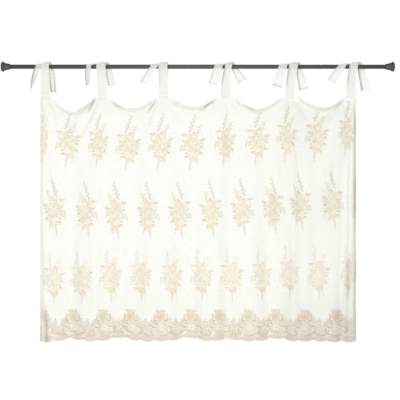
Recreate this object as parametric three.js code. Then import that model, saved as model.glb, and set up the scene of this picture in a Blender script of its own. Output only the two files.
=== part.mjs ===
// A sheer tie-top cafe curtain on a plain round rod with flared end caps.
// Millimetres, +Z up. The origin is on the rod's axis, halfway along it.
// +X runs to the right as the room sees the curtain, and the room is on the -Y side.

import * as THREE from 'three';

// Clearance between pieces that touch on the real curtain
const FIT_GAP = 0.3;

// Rod and end caps
const SPAN = 1614;
const ROD_RADIUS = 8.8;
const ROD_WALL = 1;
const ROD_SIDES = 24;
const CAP_LENGTH = 38;
const CAP_BORE_DEPTH = 28;
const CAP_SIDES = 28;

// The outside of a cap from its mouth to its flat outer face, one row per ring
const CAP_RINGS = [
  { along: 0, radius: 10.6 },
  { along: 1.5, radius: 11.6 },
  { along: 8, radius: 12.7 },
  { along: 15, radius: 14.1 },
  { along: 20, radius: 15.4 },
  { along: 24.5, radius: 17.8 },
  { along: 27.5, radius: 19.9 },
  { along: 30, radius: 20.5 },
  { along: 33, radius: 19.8 },
  { along: 36, radius: 17 },
  { along: CAP_LENGTH, radius: 13 },
];

// Panel of net: its hung width, its scalloped hem, which sags a little towards both sides, and
// its thickness
const PANEL_LEFT = -645;
const PANEL_RIGHT = 648;
const HEM_Z = -1116;
const LOBES = 22;
const LOBE_DROP = 10;
const SIDE_SAG = { from: 430, to: 640, drop: 5 };
const COLUMNS_PER_LOBE = 5;
const NET_THICKNESS = 1.2;
const HEM_THICKNESS = 2;
const TOP_HEM = 15;
const SIDE_HEM = 12;

// How far down from the top edge each row of the panel's mesh lies, as a share of the drop.
// The rows are close under the ties, where the cloth fans out, and far apart below.
const ROW_SHARES = [0, 0.013, 0.027, 0.043, 0.063, 0.088, 0.122, 0.175, 0.27, 0.42, 0.6, 0.79, 0.93, 1];

// Cloth ties. The cloth that rises behind the rod lies next to it, under the one that rises before it.
const TIE_WIDTH = 38;
const TIE_THICKNESS = 1.2;
const SHOULDER = 25;
const SEWN_DEPTH = 13;
const HEM_CLEARANCE = 3;
const INNER_LOOP = { reach: 10, rise: 12.8 };
const OUTER_LOOP = { reach: 12, rise: 17.2 };
const TAIL_STANDOFF = 3;
const TAIL_CURL = 2.5;
const TAIL_BEND = { across: 0.45, out: 0.6, down: 0.4 };
const STRAP_STEPS = 3;
const LOOP_STEPS = 7;
const TAIL_STEPS = 5;
const STEPS_ACROSS = 4;

// One row per tie, from the left: where its strap is sewn to the panel, where it crosses the rod
// and how narrow it is gathered there. Of its two free ends, the left one hangs before the rod and
// the right one behind it. twist turns an end edge-on, in degrees.
const TIES = [
  {
    footX: -626, peakZ: -123, headX: -627, headWidth: 35,
    leftEnd: { rodX: -655, rodWidth: 20, endX: -684, endZ: -93, endWidth: 32, twist: 78 },
    rightEnd: { rodX: -605, rodWidth: 15, endX: -596, endZ: -103, endWidth: 36, twist: 46 },
  },
  {
    footX: -393, peakZ: -124, headX: -397, headWidth: 38,
    leftEnd: { rodX: -448, rodWidth: 20, endX: -453, endZ: -77, endWidth: 30, twist: 66 },
    rightEnd: { rodX: -369, rodWidth: 20, endX: -357, endZ: -76, endWidth: 36, twist: 36 },
  },
  {
    footX: -141, peakZ: -119, headX: -143, headWidth: 37,
    leftEnd: { rodX: -180, rodWidth: 30, endX: -224, endZ: -68, endWidth: 29, twist: 8 },
    rightEnd: { rodX: -131, rodWidth: 20, endX: -138, endZ: -70, endWidth: 26, twist: 20 },
  },
  {
    footX: 112, peakZ: -118, headX: 125, headWidth: 28,
    leftEnd: { rodX: 84, rodWidth: 34, endX: 63, endZ: -74, endWidth: 38, twist: 0 },
    rightEnd: { rodX: 146, rodWidth: 18, endX: 183, endZ: -58, endWidth: 38, twist: 6 },
  },
  {
    footX: 378, peakZ: -116, headX: 391, headWidth: 36,
    leftEnd: { rodX: 348, rodWidth: 34, endX: 324, endZ: -83, endWidth: 38, twist: 0 },
    rightEnd: { rodX: 414, rodWidth: 20, endX: 435, endZ: -91, endWidth: 38, twist: 6 },
  },
  {
    footX: 628, peakZ: -118, headX: 638, headWidth: 34,
    leftEnd: { rodX: 589, rodWidth: 32, endX: 546, endZ: -61, endWidth: 36, twist: 5 },
    rightEnd: { rodX: 669, rodWidth: 22, endX: 690, endZ: -94, endWidth: 37, twist: 10 },
  },
];

// One row per bay between two ties: where the slack top edge hangs lowest, and how round the swag
// is on either side of that point
const BAYS = [
  { valleyX: -518, valleyZ: -184, leftCurve: 1.7, rightCurve: 1.6 },
  { valleyX: -264, valleyZ: -171, leftCurve: 2.1, rightCurve: 1.7 },
  { valleyX: -18, valleyZ: -163, leftCurve: 1.9, rightCurve: 2.1 },
  { valleyX: 246, valleyZ: -175, leftCurve: 1.55, rightCurve: 1.7 },
  { valleyX: 512, valleyZ: -166, leftCurve: 1.8, rightCurve: 2.3 },
];

// One row per fold, from the left. relief is towards the room, so a negative one is a trough.
// A trough's hem hangs a little higher, by lift.
const FOLDS = [
  { topX: -618, hemX: -610, spread: 42, topRelief: 3, hemRelief: 12, lift: 0 },
  { topX: -516, hemX: -524, spread: 52, topRelief: -9, hemRelief: -24, lift: 9 },
  { topX: -400, hemX: -438, spread: 50, topRelief: 6, hemRelief: 16, lift: 0 },
  { topX: -268, hemX: -318, spread: 55, topRelief: -7, hemRelief: -26, lift: 11 },
  { topX: -142, hemX: -196, spread: 52, topRelief: 6, hemRelief: 18, lift: 0 },
  { topX: -20, hemX: -38, spread: 50, topRelief: -6, hemRelief: -25, lift: 12 },
  { topX: 112, hemX: 40, spread: 42, topRelief: 6, hemRelief: 12, lift: 0 },
  { topX: 160, hemX: 124, spread: 38, topRelief: 0, hemRelief: -17, lift: 8 },
  { topX: 196, hemX: 214, spread: 42, topRelief: 0, hemRelief: 15, lift: 0 },
  { topX: 260, hemX: 320, spread: 48, topRelief: -7, hemRelief: -24, lift: 8 },
  { topX: 382, hemX: 407, spread: 46, topRelief: 6, hemRelief: 14, lift: 0 },
  { topX: 512, hemX: 472, spread: 48, topRelief: -7, hemRelief: -10, lift: 0 },
  { topX: 560, hemX: 546, spread: 34, topRelief: 1, hemRelief: 10, lift: 0 },
  { topX: 598, hemX: 592, spread: 22, topRelief: -5, hemRelief: -13, lift: 0 },
  { topX: 634, hemX: 632, spread: 20, topRelief: 2, hemRelief: 9, lift: 0 },
];

// A fine uneven ripple between the folds, deeper at the hem
const RIPPLE = { pitch: 73, drift: 410, wander: 0.9, topRelief: 0.6, hemRelief: 3.2 };

// One row per crease that fans out below a tie: its lean is sideways travel for each step down
const CREASES = [
  { tie: 0, lean: 0.24, relief: -5, reach: 190 },
  { tie: 0, lean: 0.7, relief: -5, reach: 110 },
  { tie: 1, lean: -0.5, relief: -6, reach: 150 },
  { tie: 1, lean: -0.06, relief: -4, reach: 120 },
  { tie: 1, lean: 0.75, relief: -5, reach: 90 },
  { tie: 2, lean: -0.6, relief: -6, reach: 140 },
  { tie: 2, lean: -0.1, relief: -4, reach: 130 },
  { tie: 2, lean: 0.68, relief: -5, reach: 140 },
  { tie: 3, lean: -0.9, relief: -6, reach: 100 },
  { tie: 3, lean: -0.05, relief: -4, reach: 110 },
  { tie: 3, lean: 0.8, relief: -5, reach: 100 },
  { tie: 4, lean: -0.25, relief: -4, reach: 120 },
  { tie: 4, lean: 0.62, relief: -6, reach: 150 },
  { tie: 5, lean: -0.9, relief: -6, reach: 150 },
  { tie: 5, lean: -0.15, relief: -4, reach: 110 },
];
const CREASE_START = 16;
const CREASE_SPREAD = 8;
const CREASE_WIDENING = 0.12;

// Around a tie's foot the cloth is held flat, and it takes up its folds further out
const HELD = { across: 24, acrossFree: 75, down: 18, downFree: 95 };

const FULL_TURN = 2 * Math.PI;

function easeBetween(low, high, value) {
  const share = THREE.MathUtils.clamp((value - low) / (high - low), 0, 1);
  return share * share * (3 - 2 * share);
}

function bell(distance, spread) {
  return Math.exp(-((distance / spread) ** 2));
}

// A closed solid from a grid of middle points with a direction and a half thickness at each.
// stations[i][j] runs along in i and across in j, and the direction is across x along.
function sheetGeometry(stations) {
  const alongCount = stations.length;
  const acrossCount = stations[0].length;
  const positions = [];
  for (const side of [1, -1]) {
    for (const station of stations) {
      for (const { middle, normal, halfThickness } of station) {
        const corner = middle.clone().addScaledVector(normal, side * halfThickness);
        positions.push(corner.x, corner.y, corner.z);
      }
    }
  }
  const layer = alongCount * acrossCount;
  const upper = (i, j) => i * acrossCount + j;
  const lower = (i, j) => layer + upper(i, j);
  const faces = [];
  const addQuad = (a, b, c, d) => faces.push(a, b, c, a, c, d);
  for (let i = 0; i + 1 < alongCount; i += 1) {
    for (let j = 0; j + 1 < acrossCount; j += 1) {
      addQuad(upper(i, j), upper(i, j + 1), upper(i + 1, j + 1), upper(i + 1, j));
      addQuad(lower(i, j), lower(i + 1, j), lower(i + 1, j + 1), lower(i, j + 1));
    }
  }
  const lastAcross = acrossCount - 1;
  for (let i = 0; i + 1 < alongCount; i += 1) {
    addQuad(upper(i, 0), upper(i + 1, 0), lower(i + 1, 0), lower(i, 0));
    addQuad(upper(i + 1, lastAcross), upper(i, lastAcross), lower(i, lastAcross), lower(i + 1, lastAcross));
  }
  const lastAlong = alongCount - 1;
  for (let j = 0; j + 1 < acrossCount; j += 1) {
    addQuad(upper(0, j + 1), upper(0, j), lower(0, j), lower(0, j + 1));
    addQuad(upper(lastAlong, j), upper(lastAlong, j + 1), lower(lastAlong, j + 1), lower(lastAlong, j));
  }
  const geometry = new THREE.BufferGeometry();
  geometry.setAttribute('position', new THREE.Float32BufferAttribute(positions, 3));
  geometry.setIndex(faces);
  geometry.computeVertexNormals();
  return geometry;
}

// The rod is a thin tube whose ends stand in the caps' bores.
function rodGeometry() {
  const half = SPAN / 2 - (CAP_LENGTH - CAP_BORE_DEPTH) - FIT_GAP;
  const inner = ROD_RADIUS - ROD_WALL;
  const profile = [
    new THREE.Vector2(ROD_RADIUS, -half),
    new THREE.Vector2(ROD_RADIUS, half),
    new THREE.Vector2(inner, half),
    new THREE.Vector2(inner, -half),
    new THREE.Vector2(ROD_RADIUS, -half),
  ];
  return new THREE.LatheGeometry(profile, ROD_SIDES);
}

// A cap is a flared foot with a blind bore for the rod's end.
function capGeometry() {
  const bore = ROD_RADIUS + FIT_GAP;
  const profile = [
    new THREE.Vector2(0, CAP_BORE_DEPTH),
    new THREE.Vector2(bore, CAP_BORE_DEPTH),
    new THREE.Vector2(bore, 0),
  ];
  for (const { along, radius } of CAP_RINGS) {
    profile.push(new THREE.Vector2(radius, along));
  }
  profile.push(new THREE.Vector2(0, CAP_LENGTH));
  return new THREE.LatheGeometry(profile, CAP_SIDES);
}

// The panel's top edge: level where a strap is sewn on, and a slack swag between two straps
function topEdge(x) {
  const next = TIES.findIndex((tie) => x < tie.footX + SHOULDER);
  if (next === -1) {
    return TIES[TIES.length - 1].peakZ;
  }
  const rightTie = TIES[next];
  if (next === 0 || x > rightTie.footX - SHOULDER) {
    return rightTie.peakZ;
  }
  const leftTie = TIES[next - 1];
  const bay = BAYS[next - 1];
  const fromLeft = x < bay.valleyX;
  const shoulder = fromLeft ? leftTie.footX + SHOULDER : rightTie.footX - SHOULDER;
  const peak = fromLeft ? leftTie.peakZ : rightTie.peakZ;
  const curve = fromLeft ? bay.leftCurve : bay.rightCurve;
  const share = (x - shoulder) / (bay.valleyX - shoulder);
  return peak + (bay.valleyZ - peak) * (1 - (1 - share) ** curve);
}

// The panel's lower edge: round lobes, lifted a little where a fold lies back and lower at the sides
function hemEdge(x) {
  const lobe = ((x - PANEL_LEFT) / (PANEL_RIGHT - PANEL_LEFT)) * LOBES;
  const drop = LOBE_DROP * Math.sqrt(Math.abs(Math.sin(Math.PI * lobe)));
  const lift = FOLDS.reduce((sum, fold) => sum + fold.lift * bell(x - fold.hemX, fold.spread), 0);
  const sag = SIDE_SAG.drop * easeBetween(SIDE_SAG.from, SIDE_SAG.to, Math.abs(x));
  return HEM_Z - drop - sag + lift;
}

// How far the cloth stands towards the room at a point of the panel
function relief(x, z) {
  const top = topEdge(x);
  const share = (top - z) / (top - HEM_Z);
  const settled = THREE.MathUtils.clamp(share, 0, 1);
  let height = 0;
  for (const fold of FOLDS) {
    const middle = THREE.MathUtils.lerp(fold.topX, fold.hemX, settled);
    height += THREE.MathUtils.lerp(fold.topRelief, fold.hemRelief, settled) * bell(x - middle, fold.spread);
  }
  const wander = RIPPLE.wander * Math.sin((FULL_TURN * x) / RIPPLE.drift);
  const ripple = Math.sin((FULL_TURN * x) / RIPPLE.pitch + wander);
  height += THREE.MathUtils.lerp(RIPPLE.topRelief, RIPPLE.hemRelief, settled) * ripple;
  for (const { tie, lean, relief: depth, reach } of CREASES) {
    const down = TIES[tie].peakZ - z;
    const fade = easeBetween(CREASE_START, CREASE_START * 3, down)
      * (1 - easeBetween(reach / 2, reach, down));
    const off = x - TIES[tie].footX - lean * down;
    height += depth * fade * bell(off, CREASE_SPREAD + CREASE_WIDENING * Math.max(down, 0));
  }
  const free = TIES.map((tie) => Math.max(
    easeBetween(HELD.across, HELD.acrossFree, Math.abs(x - tie.footX)),
    easeBetween(HELD.down, HELD.downFree, tie.peakZ - z),
  ));
  return height * Math.min(...free);
}

function panelPoint(x, z) {
  return new THREE.Vector3(x, -relief(x, z), z);
}

// The panel's direction towards the room, from two short steps over the cloth
function panelNormal(x, z) {
  const step = NET_THICKNESS / 2;
  const across = panelPoint(x + step, z).sub(panelPoint(x - step, z));
  const down = panelPoint(x, z - step).sub(panelPoint(x, z + step));
  return down.cross(across).normalize();
}

function panelGeometry() {
  const columns = LOBES * COLUMNS_PER_LOBE;
  const stations = [];
  for (let column = 0; column <= columns; column += 1) {
    const x = THREE.MathUtils.lerp(PANEL_LEFT, PANEL_RIGHT, column / columns);
    const inSideHem = Math.min(x - PANEL_LEFT, PANEL_RIGHT - x) < SIDE_HEM;
    const top = topEdge(x);
    const hem = hemEdge(x);
    const station = ROW_SHARES.map((share) => {
      const z = THREE.MathUtils.lerp(top, hem, share);
      const hemmed = inSideHem || top - z < TOP_HEM;
      return {
        middle: panelPoint(x, z),
        normal: panelNormal(x, z),
        halfThickness: (hemmed ? HEM_THICKNESS : NET_THICKNESS) / 2,
      };
    });
    stations.push(station);
  }
  return sheetGeometry(stations);
}

// The middle line of one tie cloth with its width, from its sewn foot up to the rod, over it and
// down its free end. side is -1 for the cloth that rises before the rod and 1 for the one behind.
// Both are sewn behind the panel's top hem, one upon the other.
function tieLine(tie, side, loop, tail) {
  const line = [];
  const hemBack = HEM_THICKNESS / 2 + FIT_GAP + TIE_THICKNESS / 2;
  const footY = side < 0 ? hemBack : hemBack + TIE_THICKNESS + FIT_GAP;
  const foot = new THREE.Vector3(tie.footX, footY, tie.peakZ - SEWN_DEPTH);
  const level = new THREE.Vector3(1, 0, 0);
  line.push({ middle: foot, across: level, halfWidth: TIE_WIDTH / 2, curl: 0 });
  for (let step = 0; step < STRAP_STEPS; step += 1) {
    const share = step / STRAP_STEPS;
    const middle = new THREE.Vector3(
      THREE.MathUtils.lerp(tie.footX, tie.headX, share ** 2),
      THREE.MathUtils.lerp(footY, side * loop.reach, share),
      THREE.MathUtils.lerp(tie.peakZ + HEM_CLEARANCE, 0, share),
    );
    const halfWidth = THREE.MathUtils.lerp(TIE_WIDTH, tie.headWidth, share ** 2) / 2;
    line.push({ middle, across: level, halfWidth, curl: 0 });
  }
  for (let step = 0; step <= LOOP_STEPS; step += 1) {
    const share = step / LOOP_STEPS;
    const turn = Math.PI * share;
    const drift = easeBetween(0, 1, share);
    const middle = new THREE.Vector3(
      THREE.MathUtils.lerp(tie.headX, tail.rodX, drift),
      side * loop.reach * Math.cos(turn),
      loop.rise * Math.sin(turn),
    );
    const halfWidth = THREE.MathUtils.lerp(tie.headWidth, tail.rodWidth, drift) / 2;
    line.push({ middle, across: level, halfWidth, curl: 0 });
  }
  const twist = THREE.MathUtils.degToRad(tail.twist);
  const standoff = TAIL_STANDOFF + (tail.endWidth / 2) * Math.sin(twist);
  const rodPoint = new THREE.Vector3(tail.rodX, -side * loop.reach, 0);
  const endPoint = new THREE.Vector3(tail.endX, -side * (loop.reach + standoff), tail.endZ);
  const bend = new THREE.Vector3(
    THREE.MathUtils.lerp(tail.rodX, tail.endX, TAIL_BEND.across),
    -side * (loop.reach + standoff * TAIL_BEND.out),
    tail.endZ * TAIL_BEND.down,
  );
  const hang = new THREE.QuadraticBezierCurve3(rodPoint, bend, endPoint);
  for (let step = 1; step <= TAIL_STEPS; step += 1) {
    const share = step / TAIL_STEPS;
    const direction = hang.getTangent(share);
    const square = new THREE.Vector3(-direction.z, 0, direction.x).normalize();
    const across = level.clone().lerp(square, share).normalize();
    across.applyAxisAngle(direction, twist * share);
    const halfWidth = THREE.MathUtils.lerp(tail.rodWidth, tail.endWidth, Math.sqrt(share)) / 2;
    line.push({ middle: hang.getPoint(share), across, halfWidth, curl: TAIL_CURL * share });
  }
  return line;
}

function tieGeometry(tie, side, loop, tail) {
  const line = tieLine(tie, side, loop, tail);
  const stations = line.map(({ middle, across, halfWidth, curl }, i) => {
    const before = line[Math.max(i - 1, 0)].middle;
    const after = line[Math.min(i + 1, line.length - 1)].middle;
    const along = after.clone().sub(before).normalize();
    const normal = across.clone().cross(along).normalize();
    const station = [];
    for (let j = 0; j <= STEPS_ACROSS; j += 1) {
      const share = (2 * j) / STEPS_ACROSS - 1;
      const point = middle.clone()
        .addScaledVector(across, share * halfWidth)
        .addScaledVector(normal, curl * share * share);
      station.push({ middle: point, normal, halfThickness: TIE_THICKNESS / 2 });
    }
    return station;
  });
  return sheetGeometry(stations);
}

const rodSteel = { color: 0x55554f, roughness: 0.42, metalness: 0.55 };
const capRubber = { color: 0x4b4b47, roughness: 0.55, metalness: 0 };
const ivoryNet = { color: 0xf7f4ea, roughness: 0.9, metalness: 0 };
const ivoryTape = { color: 0xf1f0ea, roughness: 0.9, metalness: 0 };

function addPiece(group, name, geometry, finish) {
  const mesh = new THREE.Mesh(geometry, new THREE.MeshStandardMaterial(finish));
  mesh.name = name;
  group.add(mesh);
  return mesh;
}

const curtain = new THREE.Group();

// A lathe turns about its own Y axis, so the rod and the caps are laid along X.
const quarterTurn = Math.PI / 2;
addPiece(curtain, 'rod', rodGeometry(), rodSteel).rotation.z = -quarterTurn;
for (const [name, side] of [['cap_left', -1], ['cap_right', 1]]) {
  const cap = addPiece(curtain, name, capGeometry(), capRubber);
  cap.rotation.z = -side * quarterTurn;
  cap.position.x = side * (SPAN / 2 - CAP_LENGTH);
}

addPiece(curtain, 'panel', panelGeometry(), ivoryNet);

TIES.forEach((tie, index) => {
  const number = index + 1;
  addPiece(curtain, `tie_${number}_front`, tieGeometry(tie, -1, OUTER_LOOP, tie.rightEnd), ivoryTape);
  addPiece(curtain, `tie_${number}_back`, tieGeometry(tie, 1, INNER_LOOP, tie.leftEnd), ivoryTape);
});

export default curtain;
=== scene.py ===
# %% [markdown]
# # A tie-top cafe curtain in embroidered net
#
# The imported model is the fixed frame: a rod with two caps, a panel of net and six pairs of cloth
# ties. This lesson dresses it, piece by piece, as a maker would see it: net on its folds, raised
# embroidery, soft ties, a satin rod and rubber caps. All sizes are millimetres, as in the model's
# own source, and turn into metres only where Blender needs them.

# %% Load the frame
import math
from collections import namedtuple

import bpy
import numpy as np
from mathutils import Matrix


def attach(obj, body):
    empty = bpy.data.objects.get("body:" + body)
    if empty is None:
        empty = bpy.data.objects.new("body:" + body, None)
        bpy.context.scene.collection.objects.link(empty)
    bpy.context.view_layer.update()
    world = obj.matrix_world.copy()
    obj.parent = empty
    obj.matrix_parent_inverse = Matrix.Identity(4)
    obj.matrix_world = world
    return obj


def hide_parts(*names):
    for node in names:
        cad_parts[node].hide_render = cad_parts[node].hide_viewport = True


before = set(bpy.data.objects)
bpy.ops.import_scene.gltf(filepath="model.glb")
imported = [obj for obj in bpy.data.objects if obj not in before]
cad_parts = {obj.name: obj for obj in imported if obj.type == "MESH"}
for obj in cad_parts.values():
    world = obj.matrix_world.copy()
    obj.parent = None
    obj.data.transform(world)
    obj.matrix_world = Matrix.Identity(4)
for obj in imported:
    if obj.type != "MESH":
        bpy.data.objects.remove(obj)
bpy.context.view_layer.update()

MM = 0.001

# %% [markdown]
# ## Camera
#
# The curtain was photographed straight on and from far away: both caps show the same side and the
# hem is level. So the camera is level, on a long lens, and looks at the middle of the picture.
# One pixel of the 400 pixel picture is 4.1 mm on the rod.

# %% Camera
PICTURE_PIXELS = 400
PIXEL = 4.1
PICTURE_WIDTH = PICTURE_PIXELS * PIXEL
LOOK_X = 9.0
LOOK_Z = -546.5
CAMERA_DISTANCE = 6500.0
SENSOR = 36.0

camera_data = bpy.data.cameras.new("camera")
camera_data.sensor_width = SENSOR
camera_data.lens = SENSOR * CAMERA_DISTANCE / PICTURE_WIDTH
camera = bpy.data.objects.new("camera", camera_data)
camera.location = (LOOK_X * MM, -CAMERA_DISTANCE * MM, LOOK_Z * MM)
camera.rotation_euler = (math.radians(90), 0, 0)
bpy.context.collection.objects.link(camera)
bpy.context.scene.camera = camera
print("lens:", round(camera_data.lens, 1), "mm")

# %% [markdown]
# ## Light and floor
#
# The picture has a clean white ground, and the cloth is bright, with almost no shade on its folds
# but dark edges wherever it turns away: the light came from the front, close to the camera. So one
# wide soft lamp stands there, nearly straight before the cloth. It is wider than the rod is long,
# because the rod shines along its whole length. A white world gives the ground, and a part of it
# lights the rest. A second lamp behind keeps the back readable.

# %% Light and floor
GROUND_LIGHT = 1.0
EVEN_LIGHT = 0.42
FLOOR_Z = -1900.0
FLOOR_HALF = 2600.0
FLOOR_COLOUR = (0.86, 0.86, 0.85, 1.0)

Lamp = namedtuple("Lamp", "name x y z width height power")
LAMPS = [
    Lamp("front_lamp", -150, -3600, -100, 3800, 900, 88),
    Lamp("back_lamp", 1500, 3600, 900, 2200, 2200, 90),
]

scene = bpy.context.scene
scene.view_settings.view_transform = "Standard"
world = bpy.data.worlds.new("studio")
world.use_nodes = True
scene.world = world
sky = world.node_tree.nodes["Background"]
sky.inputs["Color"].default_value = (1, 1, 1, 1)
path = world.node_tree.nodes.new("ShaderNodeLightPath")
strength = world.node_tree.nodes.new("ShaderNodeMapRange")
strength.inputs["To Min"].default_value = EVEN_LIGHT
strength.inputs["To Max"].default_value = GROUND_LIGHT
world.node_tree.links.new(path.outputs["Is Camera Ray"], strength.inputs["Value"])
world.node_tree.links.new(strength.outputs["Result"], sky.inputs["Strength"])

for lamp in LAMPS:
    light = bpy.data.lights.new(lamp.name, "AREA")
    light.shape = "RECTANGLE"
    light.size = lamp.width * MM
    light.size_y = lamp.height * MM
    light.energy = lamp.power
    holder = bpy.data.objects.new(lamp.name, light)
    holder.location = (lamp.x * MM, lamp.y * MM, lamp.z * MM)
    aim = holder.location.copy()
    aim.z -= LOOK_Z * MM
    holder.rotation_euler = aim.to_track_quat("Z", "Y").to_euler()
    bpy.context.collection.objects.link(holder)

floor_mesh = bpy.data.meshes.new("floor")
half = FLOOR_HALF * MM
corners = [(x * half, y * half, FLOOR_Z * MM) for x, y in ((-1, -1), (1, -1), (1, 1), (-1, 1))]
floor_mesh.from_pydata(corners, [], [(0, 1, 2, 3)])
floor = bpy.data.objects.new("floor", floor_mesh)
bpy.context.collection.objects.link(floor)
print("lamps:", len(LAMPS))

# %% [markdown]
# ## Shader maths as Python
#
# Every finish here is worked out from a few numbers over the surface: where a thread runs, how
# near an edge is, how deep a stitch lies. One small class wraps a socket, so that such a sum reads
# as a Python expression and each sign adds its Math node.


# %% A socket that takes part in Python expressions
class Shade:
    """A socket of a material's nodes. Shade(tree) alone is a place to add nodes from."""

    def __init__(self, tree, socket=None):
        self.tree = tree
        self.socket = socket

    def node(self, kind, settings=None, sockets=None, output=0):
        """Adds a node: first its settings, then its sockets, each a plain value or a Shade."""
        made = self.tree.nodes.new(kind)
        for name, setting in (settings or {}).items():
            setattr(made, name, setting)
        for name, value in (sockets or {}).items():
            if isinstance(value, Shade):
                self.tree.links.new(value.socket, made.inputs[name])
            else:
                made.inputs[name].default_value = value
        return Shade(self.tree, made.outputs[output])

    def math(self, operation, *values):
        return self.node("ShaderNodeMath", {"operation": operation}, dict(enumerate(values)))

    def __add__(self, other):
        return self.math("ADD", self, other)

    __radd__ = __add__

    def __sub__(self, other):
        return self.math("SUBTRACT", self, other)

    def __rsub__(self, other):
        return self.math("SUBTRACT", other, self)

    def __mul__(self, other):
        return self.math("MULTIPLY", self, other)

    __rmul__ = __mul__

    def __abs__(self):
        return self.math("ABSOLUTE", self)

    def fraction(self):
        return self.math("FRACT", self)

    def sine(self):
        return self.math("SINE", self)

    def larger(self, other):
        return self.math("MAXIMUM", self, other)

    def between(self, low, high):
        """0 below low, 1 above high and a smooth step between them."""
        sockets = {"Value": self, "From Min": low, "From Max": high}
        return self.node("ShaderNodeMapRange", {"interpolation_type": "SMOOTHSTEP"}, sockets)

    def blend(self, first, second):
        """One colour where this is 0 and another where it is 1."""
        return self.node("ShaderNodeMix", {"data_type": "RGBA"}, {0: self, 6: first, 7: second}, 2)

    def stored(self, name):
        """A number that the mesh keeps at each of its points."""
        return self.node("ShaderNodeAttribute", {"attribute_name": name}, output="Fac")

    def place(self):
        """Where a point lies on its piece, in metres."""
        return self.node("ShaderNodeTexCoord", output="Object")

    def bump(self, depth_mm, strength):
        return self.node("ShaderNodeBump", None,
                         {"Height": self, "Distance": depth_mm * MM, "Strength": strength})


print("a socket takes part in: +, -, * and abs")


# %% Start a material and feed its shader
def new_material(name):
    material = bpy.data.materials.new(name)
    material.use_nodes = True
    return material, Shade(material.node_tree)


def set_surface(material, **sockets):
    """Feeds the material's own shader. An underscore in a name stands for a space."""
    shader = material.node_tree.nodes["Principled BSDF"]
    for name, value in sockets.items():
        target = shader.inputs[name.replace("_", " ")]
        if isinstance(value, Shade):
            material.node_tree.links.new(value.socket, target)
        else:
            target.default_value = value


def from_srgb(red, green, blue):
    """A colour as a picture gives it, 0 to 255, as the linear colour that a shader takes."""
    shares = np.array([red, green, blue]) / 255
    linear = np.where(shares <= 0.04045, shares / 12.92, ((shares + 0.055) / 1.055) ** 2.4)
    return (*[float(value) for value in linear], 1.0)


FLOOR_PAINT, _ = new_material("floor_paint")
set_surface(FLOOR_PAINT, Base_Color=FLOOR_COLOUR, Roughness=0.9)
floor_mesh.materials.append(FLOOR_PAINT)
print("floor material:", FLOOR_PAINT.name)

# %% [markdown]
# ## Finishes of the cloth
#
# The ground is a fine diamond net of ivory yarn: two sets of threads cross on the slant, and
# between them one sees through. The holes are far smaller than a pixel of the picture, so what
# counts there is how much of the net is thread. The ties are a closer plain weave, nearly opaque.
# The embroidery is shiny yarn in nine shades, laid in satin stitches side by side.
#
# A plain material would look the same all over, so each mesh keeps a few numbers at its points and
# the finishes read them. One says how closely the cloth is gathered: the net closes up there, and
# painted shade greys it and dims the yarn. Another lowers the net's cover where a tie draws it flat
# and whitens it there with painted light. The ties keep painted shade for their pleats and folded
# edges and painted light for their foot, and the lowest sprays keep a share that pales their yarn as
# painted light.

# %% Net and tie cloth
Bump = namedtuple("Bump", "depth strength")
NET_PITCH = 2.2
NET_SLOPE = 0.62
NET_THREAD = 0.3
NET_BUMP = Bump(0.15, 0.5)
NET_COLOUR = from_srgb(241, 243, 231)
NET_PAINTED_SHADE = from_srgb(188, 189, 178)
NET_PAINTED_LIGHT = from_srgb(255, 255, 250)
NET_HAZE = 0.16
NET_COVER = 0.86
CROWDED_COVER = 0.95
TIGHT_COVER = 0.3
SHADE_FROM = 0.3

WEAVE_PITCH = 0.9
WEAVE_BUMP = Bump(0.12, 0.25)
WEAVE_COVER = 0.02
TIE_COVER = 0.84
TIE_COLOUR = from_srgb(243, 244, 237)
TIE_SHADED = from_srgb(160, 160, 148)
TIE_FOOT_PAINTED_LIGHT = from_srgb(255, 255, 250)


def net_finish():
    """Slanting threads with a faint haze of finer ones. Gathered cloth is greyed by painted shade past a
    threshold.
    """
    material, paint = new_material("ivory_net")
    crowded_and_shaded = paint.stored("crowded_and_shaded")
    # Where a tie draws the net flat its cover is lowered and it is whitened with painted light
    tight_and_lit = paint.stored("tight_and_lit")
    place = paint.place()
    x = paint.node("ShaderNodeSeparateXYZ", sockets={0: place}, output="X")
    z = paint.node("ShaderNodeSeparateXYZ", sockets={0: place}, output="Z")
    per_cell = 1 / (NET_PITCH * MM)
    rising = x * per_cell + z * (per_cell * NET_SLOPE)
    falling = x * per_cell - z * (per_cell * NET_SLOPE)
    near_rising = abs(rising.fraction() - 0.5) * 2
    near_falling = abs(falling.fraction() - 0.5) * 2
    thread = near_rising.larger(near_falling).between(1 - 2 * NET_THREAD, 1.0)
    cover = thread * (NET_COVER - NET_HAZE) + NET_HAZE
    set_surface(
        material,
        # Painted shade greys the net where it is gathered; painted light whitens it where a tie draws it
        # flat
        Base_Color=crowded_and_shaded.between(SHADE_FROM, 1.0).blend(tight_and_lit.blend(NET_COLOUR, NET_PAINTED_LIGHT), NET_PAINTED_SHADE),
        Roughness=0.85,
        Specular_IOR_Level=0.2,
        Alpha=(cover * (1 - crowded_and_shaded) + crowded_and_shaded * CROWDED_COVER) * (1 - tight_and_lit * (1 - TIGHT_COVER)),
        Normal=thread.bump(*NET_BUMP),
    )
    return material


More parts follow.
